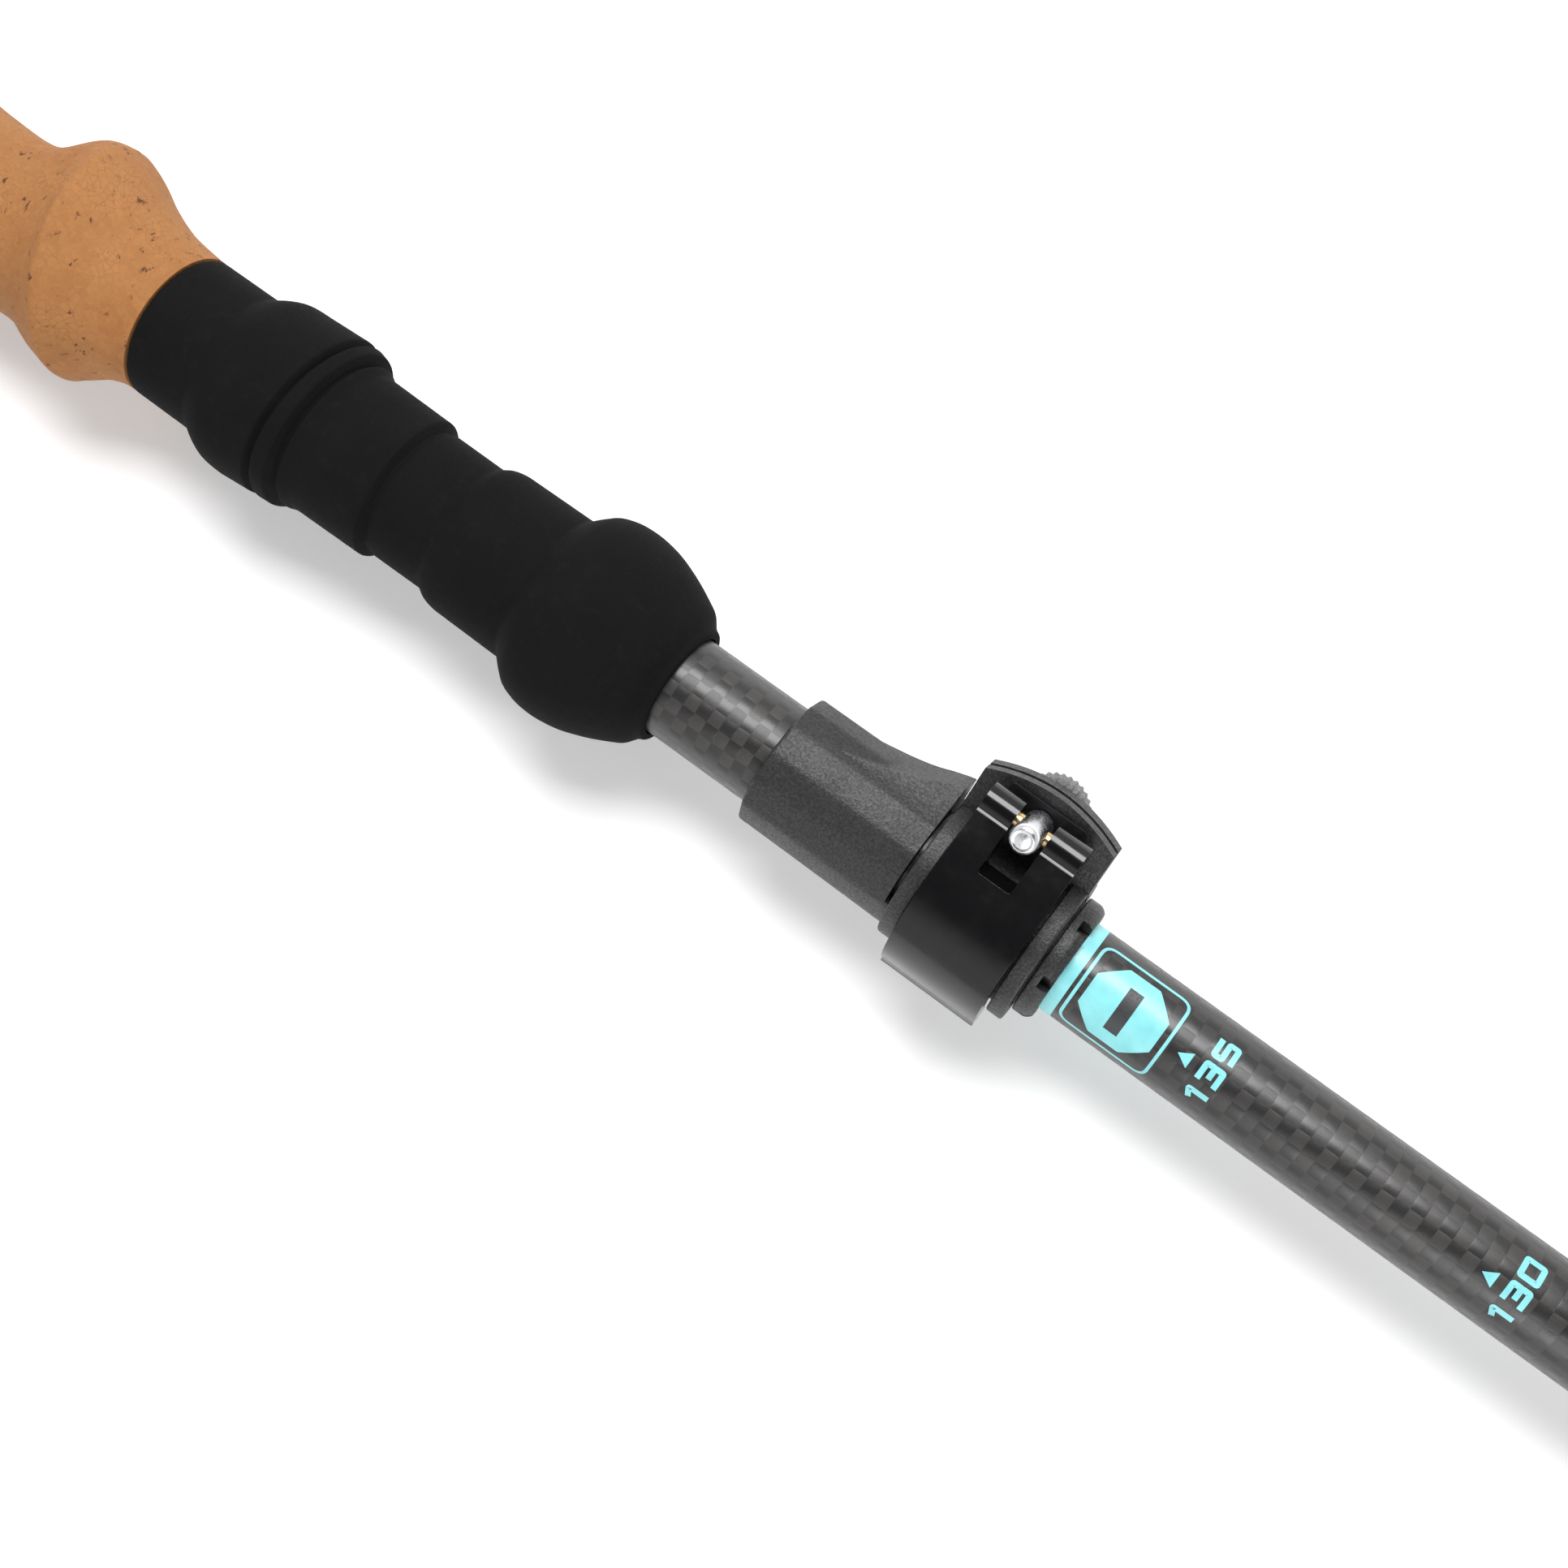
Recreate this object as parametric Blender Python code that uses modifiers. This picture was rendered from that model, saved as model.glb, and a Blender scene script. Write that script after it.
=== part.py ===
"""A telescoping trekking pole of three sections, fully extended and lying on its side.

The pole runs along X, from the grip at -X to the foot at +X. +Y is the finger side of
the grip and -Y its palm side, where the wrist strap lies. The floor is z = 0.
Sizes below are in millimetres, and MM turns them into metres.
"""

import math

import bmesh
import bpy
from mathutils import Vector

MM = 0.001
GAP = 0.3

# Where the pole lies, and where its pieces start along X.
AXIS_HEIGHT = 18.5
AXIS_OFFSET = 73.5
GRIP_TOP = -691.0
HEAD_END = -665.0
FOAM_START = -551.0
FOAM_LENGTH = 100.5
UPPER_LOCK = -431.5
LOWER_LOCK = 105.0
FERRULE = 565.0
FOOT = 640.0

# Tubes: outer radii, one wall, and how far one tube sits in the next.
UPPER_RADIUS = 8.4
MIDDLE_RADIUS = 7.5
LOWER_RADIUS = 6.6
WALL = 0.7
INSERTED = 65.0
UPPER_TUBE_TOP = -681.0
TUBE_STEPS = 36

# Quick lock, measured from its sleeve's start. The radii fit the upper tube.
LOCK_TURN = math.radians(26)
SLEEVE_LENGTH = 25.8
SLEEVE_RADIUS = 11.0
SLEEVE_FACETS = 14
CLAMP_START = 26.6
CLAMP_END = 48.85
FLANGE = 2.6
FLANGE_RADIUS = 12.2
RING_RADIUS = 10.6
TUBE_END = 30.5
COLLET_START = 31.1
COLLAR_START = 49.15
COLLAR_END = 52.25
COLLET_WALL = 1.2
COLLAR_RADIUS = 9.9
COLLAR_NOTCHES = 6
SLIT = 0.9
NEAR_EAR = 2.2
FAR_EAR = -2.5
EAR_REACH = 18.8
EAR_BOW = 2.7
BOLT_X = 37.5
BOLT_OUT = 16.7
PIN_UP = 6.0
BOLT_TOP = 12.2
BOLT_BOTTOM = -7.2
HEAD_RADIUS = 2.3
SHANK_RADIUS = 1.8
PIN_RADIUS = 1.25
KNUCKLE = 2.8
LEVER_OUTER = 15.0
LEVER_INNER = 12.0
FORK_WIDTH = 5.6
FORK_DEPTH = 7.4
SADDLE_TOP = 2.95
NUT_RADIUS = 5.5
NUT_HEIGHT = 3.7

# Strap: webbing on edge, round a pin in the grip's head.
PIN_X = -676.5
PIN_Y = -14.0
STRAP_PIN_RADIUS = 1.5
WEBBING = 1.8
STRAP_WIDTH = 22.0
PAD_THICKNESS = 2.5
PAD_WIDTH = 30.0
STRAP_DROP = AXIS_HEIGHT - PAD_WIDTH / 2
STRAP_SLANT = 0.18

# Tip end.
BASKET_RADIUS = 18.5
BASKET_HOLES = 8
THREAD_RADIUS = 7.0
CARBIDE_END = 679.0


# ---------------------------------------------------------------- scene and helpers


def clear_scene():
    for obj in list(bpy.data.objects):
        bpy.data.objects.remove(obj, do_unlink=True)


def collection(name):
    found = bpy.data.collections.new(name)
    bpy.context.scene.collection.children.link(found)
    return found


def material(name, colour, roughness, metallic=0.0):
    made = bpy.data.materials.new(name)
    made.use_nodes = True
    shader = made.node_tree.nodes["Principled BSDF"]
    shader.inputs["Base Color"].default_value = (*colour, 1.0)
    shader.inputs["Roughness"].default_value = roughness
    shader.inputs["Metallic"].default_value = metallic
    return made


def empty(name, location, parent=None, turn=0.0):
    """A frame for other objects, turned about its own X."""
    made = bpy.data.objects.new(name, None)
    made.location = Vector(location) * MM
    made.rotation_euler = (turn, 0.0, 0.0)
    made.parent = parent
    PARTS.objects.link(made)
    return made


def place(name, mesh, parent, location, rotation, mat=None):
    """Put a mesh in the scene. With no material it is a helper for a Boolean."""
    obj = bpy.data.objects.new(name, mesh)
    obj.location = Vector(location) * MM
    obj.rotation_euler = rotation
    obj.parent = parent
    if mat is None:
        TOOLS.objects.link(obj)
        obj.hide_render = True
        obj.display_type = "WIRE"
    else:
        PARTS.objects.link(obj)
        mesh.materials.append(mat)
    return obj


def boolean(obj, other, operation):
    modifier = obj.modifiers.new(other.name, "BOOLEAN")
    modifier.operation = operation
    modifier.solver = "EXACT"
    modifier.object = other


def mesh_from(name, build):
    """A mesh filled in by build(bm), in metres, with its faces pointing outwards."""
    mesh = bpy.data.meshes.new(name)
    bm = bmesh.new()
    build(bm)
    bmesh.ops.recalc_face_normals(bm, faces=bm.faces)
    bm.to_mesh(mesh)
    bm.free()
    mesh.shade_smooth()
    mesh.set_sharp_from_angle(angle=math.radians(35))
    return mesh


def add_box(bm, low, high):
    """A box between two corners, in millimetres."""
    low, high = Vector(low) * MM, Vector(high) * MM
    corners = bmesh.ops.create_cube(bm, size=1.0)["verts"]
    for vert in corners:
        vert.co = (low + high) / 2 + vert.co * (high - low)


def box(name, low, high):
    return mesh_from(name, lambda bm: add_box(bm, low, high))


def add_rod(bm, radius, length, steps=20):
    """A cylinder along Z, centred."""
    bmesh.ops.create_cone(
        bm,
        cap_ends=True,
        segments=steps,
        radius1=radius * MM,
        radius2=radius * MM,
        depth=length * MM,
    )


def rod(name, radius, length, steps=20):
    return mesh_from(name, lambda bm: add_rod(bm, radius, length, steps))


def turned(name, outline, steps, parent, location, mat=None, along_x=True):
    """A turned piece. The outline holds (distance along the axis, radius) pairs,
    from the low end to the high end on the outside, then back along the bore."""
    solid = outline[0][1] == 0.0
    points = [(radius * MM, 0.0, along * MM) for along, radius in reversed(outline)]
    edges = [(i, i + 1) for i in range(len(points) - 1)]
    if not solid:
        edges.append((len(points) - 1, 0))
    mesh = bpy.data.meshes.new(name)
    mesh.from_pydata(points, edges, [])
    rotation = (0.0, math.pi / 2, 0.0) if along_x else (0.0, 0.0, 0.0)
    obj = place(name, mesh, parent, location, rotation, mat)
    screw = obj.modifiers.new("turn", "SCREW")
    screw.axis = "Z"
    screw.steps = steps
    screw.render_steps = steps
    screw.use_merge_vertices = True
    screw.merge_threshold = 0.00001
    return obj


def slab(name, outline, thickness):
    """A flat outline in XY given the thickness along Z, centred on z = 0."""
    curve = bpy.data.curves.new(name, "CURVE")
    curve.dimensions = "2D"
    curve.fill_mode = "BOTH"
    curve.extrude = thickness * MM / 2
    spline = curve.splines.new("POLY")
    spline.points.add(len(outline) - 1)
    for point, (x, y) in zip(spline.points, outline):
        point.co = (x * MM, y * MM, 0.0, 1.0)
    spline.use_cyclic_u = True
    return solid_of(name, curve)


def solid_of(name, curve):
    """A curve's own shape as a mesh, with its caps welded on."""
    obj = bpy.data.objects.new(name + "_curve", curve)
    TOOLS.objects.link(obj)
    graph = bpy.context.evaluated_depsgraph_get()
    mesh = bpy.data.meshes.new_from_object(obj.evaluated_get(graph))
    bpy.data.objects.remove(obj)
    mesh.name = name
    bm = bmesh.new()
    bm.from_mesh(mesh)
    bmesh.ops.remove_doubles(bm, verts=bm.verts, dist=0.000001)
    bmesh.ops.recalc_face_normals(bm, faces=bm.faces)
    bm.to_mesh(mesh)
    bm.free()
    mesh.materials.clear()
    return mesh


def loft(name, rings):
    """A solid through rings of points, all with as many points, capped at both ends."""

    def build(bm):
        rows = [[bm.verts.new(Vector(point) * MM) for point in ring] for ring in rings]
        count = len(rows[0])
        for one, two in zip(rows, rows[1:]):
            for i in range(count):
                j = (i + 1) % count
                bm.faces.new((one[i], one[j], two[j], two[i]))
        bm.faces.new(reversed(rows[0]))
        bm.faces.new(rows[-1])

    return mesh_from(name, build)


def polar(radius, degrees, centre=(0.0, 0.0)):
    angle = math.radians(degrees)
    return (
        centre[0] + radius * math.cos(angle),
        centre[1] + radius * math.sin(angle),
    )


# ---------------------------------------------------------------- grip


def grip_ring(x, lean, front, palm, side, power=2.0, count=36):
    """One oval section of the grip. It leans towards the grip's top on the front."""
    ring = []
    for i in range(count):
        cosine, sine = polar(1.0, 360.0 * i / count)
        reach = front if cosine > 0 else palm
        y = reach * math.copysign(abs(cosine) ** (2 / power), cosine)
        z = side * math.copysign(abs(sine) ** (2 / power), sine)
        ring.append((x - lean * y, y, z))
    return ring


def cork_grip(axis, mat):
    """Oval cork handle: a flare under the hand's edge, a palm swell and a neck."""
    sections = [
        # distance before the foam, lean, front, palm, side
        (-0.35, 0.0, 11.9, 11.9, 11.9),
        (-4.0, 0.08, 12.2, 12.2, 12.2),
        (-8.0, 0.16, 13.4, 13.4, 13.4),
        (-11.0, 0.2, 15.2, 15.2, 15.2),
        (-14.0, 0.225, 17.4, 17.2, 17.5),
        (-16.8, 0.23, 18.6, 18.1, AXIS_HEIGHT),
        (-19.3, 0.23, 18.2, 17.8, 18.2),
        (-22.5, 0.22, 15.8, 16.9, 16.4),
        (-25.5, 0.2, 13.0, 15.9, 14.6),
        (-29.5, 0.18, 11.6, 15.2, 13.6),
        (-34.5, 0.12, 11.3, 15.1, 13.3),
        (-46.0, 0.04, 11.9, 15.6, 13.6),
        (-61.0, 0.0, 13.0, 16.6, 14.2),
        (-79.0, 0.0, 13.2, 17.0, 14.4),
        (-93.0, 0.0, 12.6, 16.2, 14.0),
        (-104.0, 0.0, 13.6, 16.0, 14.4),
        (HEAD_END - FOAM_START + GAP, 0.0, 17.3, 17.0, 15.5),
    ]
    rings = [grip_ring(*section) for section in sections]
    grip = place(
        "cork_grip", loft("cork_grip", rings), axis, (FOAM_START, 0, 0), (0, 0, 0), mat
    )
    bore = place(
        "cut_cork_bore",
        rod("cut_cork_bore", UPPER_RADIUS + GAP, 140.0, TUBE_STEPS),
        axis,
        (FOAM_START - 57.0, 0, 0),
        (0, math.pi / 2, 0),
    )
    boolean(grip, bore, "DIFFERENCE")


def grip_head(axis, plastic, metal, accent):
    """Hard head on the cork: it takes the tube's end and the strap's pocket."""
    sections = [
        (HEAD_END, 0.0, 17.5, 17.2, 15.7),
        (HEAD_END - 7.0, 0.0, 20.5, 19.2, 16.6),
        (HEAD_END - 14.0, 0.0, 22.0, 20.0, 16.9),
        (HEAD_END - 20.0, 0.0, 20.4, 18.8, 15.8),
        (HEAD_END - 24.2, 0.0, 15.6, 14.8, 12.8),
        (GRIP_TOP, 0.0, 11.0, 10.6, 9.4),
    ]
    rings = [grip_ring(*section, power=2.6) for section in sections]
    head = place(
        "grip_head", loft("grip_head", rings), axis, (0, 0, 0), (0, 0, 0), plastic
    )
    cuts = [
        (
            "cut_head_bore",
            rod("cut_head_bore", UPPER_RADIUS + GAP, 60.0, TUBE_STEPS),
            (UPPER_TUBE_TOP - GAP + 30.0, 0, 0),
            (0, math.pi / 2, 0),
        ),
        (
            "cut_disc_seat",
            rod("cut_disc_seat", 6.3, 2.4),
            (GRIP_TOP, 0, 0),
            (0, math.pi / 2, 0),
        ),
        (
            "cut_strap_pocket",
            box("cut_strap_pocket", (-4.0, -20.0, -11.4), (4.0, 4.0, 11.4)),
            (PIN_X, PIN_Y, 0),
            (0, 0, 0),
        ),
        (
            "cut_pin_hole",
            rod("cut_pin_hole", STRAP_PIN_RADIUS + GAP, 60.0),
            (PIN_X, PIN_Y, 0),
            (0, 0, 0),
        ),
    ]
    for name, mesh, location, rotation in cuts:
        boolean(head, place(name, mesh, axis, location, rotation), "DIFFERENCE")
    disc_outline = [(0.0, 0.0), (0.0, 6.0), (0.8, 6.0), (0.8, 0.0)]
    turned("cap_disc", disc_outline, 24, axis, (GRIP_TOP + 0.1, 0, 0), accent)
    place(
        "strap_pin",
        rod("strap_pin", STRAP_PIN_RADIUS, 27.0, 16),
        axis,
        (PIN_X, PIN_Y, 0),
        (0, 0, 0),
        metal,
    )


def strap_route():
    """The webbing's closed route from above, as (x, y) from the strap pin."""
    bend = STRAP_PIN_RADIUS + 0.35 + WEBBING / 2
    round_pin = [polar(bend, angle) for angle in range(0, 181, 36)]
    out = [
        (-bend, -5.0),
        (-3.4, -9.0),
        (-7.0, -17.0),
        (-13.5, -32.0),
        (-24.0, -60.0),
        (-31.0, -92.0),
        (-30.5, -121.0),
        (-19.0, -144.0),
        (1.0, -152.0),
    ]
    back = [
        (21.0, -145.0),
        (33.0, -123.0),
        (33.5, -95.0),
        (25.5, -61.0),
        (14.0, -33.0),
        (7.0, -17.0),
        (3.4, -9.0),
        (bend, -5.0),
    ]
    slanted = []
    for x, y in out + back:
        slanted.append((x + STRAP_SLANT * max(0.0, -y - 20.0), y))
    return round_pin + slanted


def ribbon(name, route, width, closed):
    """An upright band along a smooth route, sinking as it leaves the grip."""
    curve = bpy.data.curves.new(name, "CURVE")
    curve.dimensions = "3D"
    curve.resolution_u = 3
    curve.extrude = width * MM / 2
    spline = curve.splines.new("BEZIER")
    spline.bezier_points.add(len(route) - 1)
    for point, (x, y) in zip(spline.bezier_points, route):
        point.co = (x * MM, y * MM, 0.0)
        point.handle_left_type = "AUTO"
        point.handle_right_type = "AUTO"
    spline.use_cyclic_u = closed
    mesh = solid_of(name, curve)
    for vert in mesh.vertices:
        away = min(max((-vert.co.y / MM - 15.0) / 60.0, 0.0), 1.0)
        vert.co.z -= STRAP_DROP * MM * away * away * (3.0 - 2.0 * away)
    return mesh


def thicken(obj, thickness):
    modifier = obj.modifiers.new("thickness", "SOLIDIFY")
    modifier.thickness = thickness * MM
    modifier.offset = 0.0


def wrist_strap(axis, webbing, padding, plastic):
    """Webbing loop with its pad, and the wedge that grips its two strands."""
    route = strap_route()
    at_pin = (PIN_X, PIN_Y, 0)
    strap_mesh = ribbon("wrist_strap", route, STRAP_WIDTH, True)
    thicken(
        place("wrist_strap", strap_mesh, axis, at_pin, (0, 0, 0), webbing), WEBBING
    )
    inset = WEBBING / 2 + 2 * GAP + PAD_THICKNESS / 2
    inner = []
    for before, point, after in zip(route[10:], route[11:20], route[12:]):
        along = (Vector(after) - Vector(before)).normalized()
        inner.append(Vector(point) + Vector((-along.y, along.x)) * inset)
    pad_mesh = ribbon("strap_pad", inner, PAD_WIDTH, False)
    thicken(
        place("strap_pad", pad_mesh, axis, at_pin, (0, 0, 0), padding), PAD_THICKNESS
    )
    wedge_rings = []
    for y, half in ((-4.0, 1.4), (-9.0, 1.9), (-17.0, 5.0), (-18.5, 4.6)):
        wedge_rings.append(
            [(-half, y, -10.0), (half, y, -10.0), (half, y, 10.0), (-half, y, 10.0)]
        )
    wedge = loft("strap_wedge", wedge_rings)
    place("strap_wedge", wedge, axis, at_pin, (0, 0, 0), plastic)


def foam_sleeve(axis, mat):
    """Foam extension: one ridge of three ribs, a waist, and a bulb at its end."""
    outline = [
        (0.0, 11.9),
        (0.6, 12.25),
        (14.0, 12.3),
        (17.2, 13.3),
        (20.0, 14.6),
        (22.6, 14.7),
        (23.8, 14.4),
        (25.0, 14.8),
        (28.0, 14.85),
        (30.0, 14.75),
        (33.6, 14.2),
        (36.9, 12.5),
        (49.5, 12.4),
        (51.0, 11.3),
        (60.5, 11.1),
        (63.0, 12.1),
        (65.5, 12.5),
        (77.0, 12.6),
        (80.5, 15.2),
        (83.5, 16.4),
        (86.0, 16.6),
        (89.0, 16.1),
        (94.0, 13.8),
        (99.3, 10.6),
        (FOAM_LENGTH, 9.9),
        (FOAM_LENGTH, UPPER_RADIUS + GAP),
        (0.0, UPPER_RADIUS + GAP),
    ]
    turned("foam_sleeve", outline, 32, axis, (FOAM_START, 0, 0), mat)


# ---------------------------------------------------------------- tubes


def tube(name, axis, start, end, radius, mat):
    outline = [
        (0.0, radius),
        (end - start, radius),
        (end - start, radius - WALL),
        (0.0, radius - WALL),
    ]
    turned(name, outline, TUBE_STEPS, axis, (start, 0, 0), mat)


def bush(name, axis, tube_start, tube_radius, mat):
    """A plastic end for an inner tube: a lip before the tube and a spigot in it."""
    spigot = tube_radius - WALL - GAP
    outline = [
        (-2.5, 0.0),
        (-2.5, tube_radius - 0.6),
        (-2.0, tube_radius),
        (-GAP, tube_radius),
        (-GAP, spigot),
        (12.0, spigot),
        (12.0, 0.0),
    ]
    turned(name, outline, 24, axis, (tube_start, 0, 0), mat)


# ---------------------------------------------------------------- quick lock


def ramp_rings(slim):
    """The thumb ramp: wide and flush with the sleeve, then narrow and tall."""
    sections = [
        # along, side half width, side height, top half width, top height
        (8.0, 7.4, 7.6, 4.6, 9.7),
        (13.0, 6.6, 8.3, 4.4, 10.4),
        (17.0, 5.8, 8.9, 4.3, 11.1),
        (21.0, 5.0, 9.5, 4.2, 12.1),
        (24.0, 4.4, 10.2, 4.1, 13.2),
        (SLEEVE_LENGTH, 4.3, 10.6, 4.1, 13.7),
    ]
    rings = []
    for along, side, side_up, top, top_up in sections:
        left = [(5.0, -side), (side_up - slim, -side), (top_up - slim, -top)]
        outline = left + [(up, -width) for up, width in reversed(left)]
        rings.append([(along, up, width) for up, width in outline])
    return rings


def lock_housing(prefix, lock, slim, mat):
    """Faceted sleeve, thumb ramp, split clamp ring with two flanges, and two ears."""
    name = prefix + "_lock_housing"
    hole = UPPER_RADIUS - slim + GAP
    collet_hole = hole + 0.6
    sleeve = SLEEVE_RADIUS - slim
    flange = FLANGE_RADIUS - slim
    ring = RING_RADIUS - slim
    core = 6.0
    body_outline = [
        (0.0, sleeve - 0.5),
        (0.6, sleeve),
        (CLAMP_START + 0.5, sleeve),
        (CLAMP_START + 0.5, core),
        (0.0, core),
    ]
    body = turned(name, body_outline, SLEEVE_FACETS, lock, (0, 0, 0), mat)
    clamp_outline = [
        (CLAMP_START, flange - 0.4),
        (CLAMP_START + 0.4, flange),
        (CLAMP_START + FLANGE, flange),
        (CLAMP_START + FLANGE, ring),
        (CLAMP_END - FLANGE, ring),
        (CLAMP_END - FLANGE, flange),
        (CLAMP_END - 0.4, flange),
        (CLAMP_END, flange - 0.4),
        (CLAMP_END, core),
        (CLAMP_START, core),
    ]
    clamp = turned("join_" + prefix + "_clamp", clamp_outline, TUBE_STEPS, lock, (0, 0, 0))
    ear = []
    for i in range(9):
        across = i / 4.0 - 1.0
        reach = EAR_REACH - slim + EAR_BOW * (1.0 - across * across)
        middle = (CLAMP_START + CLAMP_END) / 2
        ear.append((middle - across * (CLAMP_END - CLAMP_START) / 2, reach))
    ear += [(CLAMP_START, 8.0), (CLAMP_END, 8.0)]
    ears = place(
        "join_" + prefix + "_ears",
        slab("join_ears", ear, NEAR_EAR - FAR_EAR),
        lock,
        (0, 0, (NEAR_EAR + FAR_EAR) / 2),
        (0, 0, 0),
    )
    ramp_name = "join_" + prefix + "_ramp"
    ramp = place(ramp_name, loft(ramp_name, ramp_rings(slim)), lock, (0, 0, 0), (0, 0, 0))
    for other in (clamp, ears, ramp):
        boolean(body, other, "UNION")
    bore_outline = [
        (-1.0, 0.0),
        (-1.0, hole),
        (TUBE_END + GAP, hole),
        (TUBE_END + GAP, collet_hole),
        (CLAMP_END + 1.0, collet_hole),
        (CLAMP_END + 1.0, 0.0),
    ]
    bore = turned("cut_" + prefix + "_bore", bore_outline, TUBE_STEPS, lock, (0, 0, 0))
    slots_name = "cut_" + prefix + "_slots"
    slots = place(
        slots_name,
        box(slots_name, (SLEEVE_LENGTH, -4.0, -30.0), (CLAMP_START, 30.0, 30.0)),
        lock,
        (0, 0, 0),
        (0, 0, 0),
    )
    slit_name = "cut_" + prefix + "_slit"
    slit = place(
        slit_name,
        box(slit_name, (CLAMP_START - 0.5, 5.0, -SLIT / 2), (50.0, 30.0, SLIT / 2)),
        lock,
        (0, 0, 0),
        (0, 0, 0),
    )
    hole_name = "cut_" + prefix + "_bolt_hole"
    bolt_hole = place(
        hole_name,
        rod(hole_name, SHANK_RADIUS + GAP, 12.0),
        lock,
        (BOLT_X, BOLT_OUT - slim, 0),
        (0, 0, 0),
    )
    for cutter in (bore, slots, slit, bolt_hole):
        boolean(body, cutter, "DIFFERENCE")


def collet(prefix, lock, slim, mat):
    """Split bush that the clamp ring squeezes, with a castellated collar outside."""
    inner = MIDDLE_RADIUS - slim + GAP
    outer = inner + COLLET_WALL
    collar = COLLAR_RADIUS - slim
    outline = [
        (COLLET_START, outer),
        (COLLAR_START, outer),
        (COLLAR_START, collar),
        (COLLAR_END - 0.7, collar),
        (COLLAR_END, collar - 0.5),
        (COLLAR_END, inner),
        (COLLET_START, inner),
    ]
    name = prefix + "_collet"
    body = turned(name, outline, TUBE_STEPS, lock, (0, 0, 0), mat)

    def notches(bm):
        for i in range(COLLAR_NOTCHES):
            before = set(bm.verts)
            add_box(bm, (COLLAR_END - 1.8, inner - 3.0, -1.1), (60.0, 20.0, 1.1))
            verts = [vert for vert in bm.verts if vert not in before]
            turn = math.tau * (i + 0.5) / COLLAR_NOTCHES
            for vert in verts:
                y, z = vert.co.y, vert.co.z
                vert.co.y = y * math.cos(turn) - z * math.sin(turn)
                vert.co.z = y * math.sin(turn) + z * math.cos(turn)

    notch_name = "cut_" + prefix + "_notches"
    notch = place(notch_name, mesh_from(notch_name, notches), lock, (0, 0, 0), (0, 0, 0))
    slit_name = "cut_" + prefix + "_collet_slit"
    slit = place(
        slit_name,
        box(slit_name, (COLLET_START - 1.0, -20.0, -0.6), (60.0, -3.0, 0.6)),
        lock,
        (0, 0, 0),
        (0, 0, 0),
    )
    boolean(body, slit, "DIFFERENCE")
    boolean(body, notch, "DIFFERENCE")


def lever(prefix, lock, slim, mat):
    """Cam lever curved round the clamp ring, forked where it meets the bolt."""
    pivot = Vector((BOLT_OUT - slim, PIN_UP))
    outer = [polar(LEVER_OUTER - slim, angle) for angle in range(48, 152, 8)]
    tip = [polar(LEVER_OUTER - slim + 0.5, 157), polar(LEVER_INNER - slim + 0.3, 160)]
    inner = [polar(LEVER_INNER - slim, angle) for angle in range(154, 27, -9)]
    knuckle = [polar(KNUCKLE, angle, pivot) for angle in range(230, 461, 23)]
    outline = [Vector(point) - pivot for point in outer + tip + inner + knuckle]
    width = CLAMP_END - CLAMP_START - 2 * FLANGE - 2 * GAP
    middle = (CLAMP_START + CLAMP_END) / 2
    name = prefix + "_lock_lever"
    place_at = (middle, pivot.x, pivot.y)
    across = (math.pi / 2, 0, math.pi / 2)
    body = place(name, slab(name, outline, width), lock, place_at, across, mat)
    fork_name = "cut_" + prefix + "_fork"
    fork_low = (BOLT_X - FORK_WIDTH / 2, pivot.x - FORK_DEPTH, 1.0)
    fork_high = (BOLT_X + FORK_WIDTH / 2, pivot.x + 6.0, 20.0)
    fork_mesh = box(fork_name, fork_low, fork_high)
    fork = place(fork_name, fork_mesh, lock, (0, 0, 0), (0, 0, 0))
    hole_name = "cut_" + prefix + "_lever_hole"
    hole = place(
        hole_name,
        rod(hole_name, PIN_RADIUS + GAP, 30.0),
        lock,
        place_at,
        (0, math.pi / 2, 0),
    )
    boolean(body, fork, "DIFFERENCE")
    boolean(body, hole, "DIFFERENCE")


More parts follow.
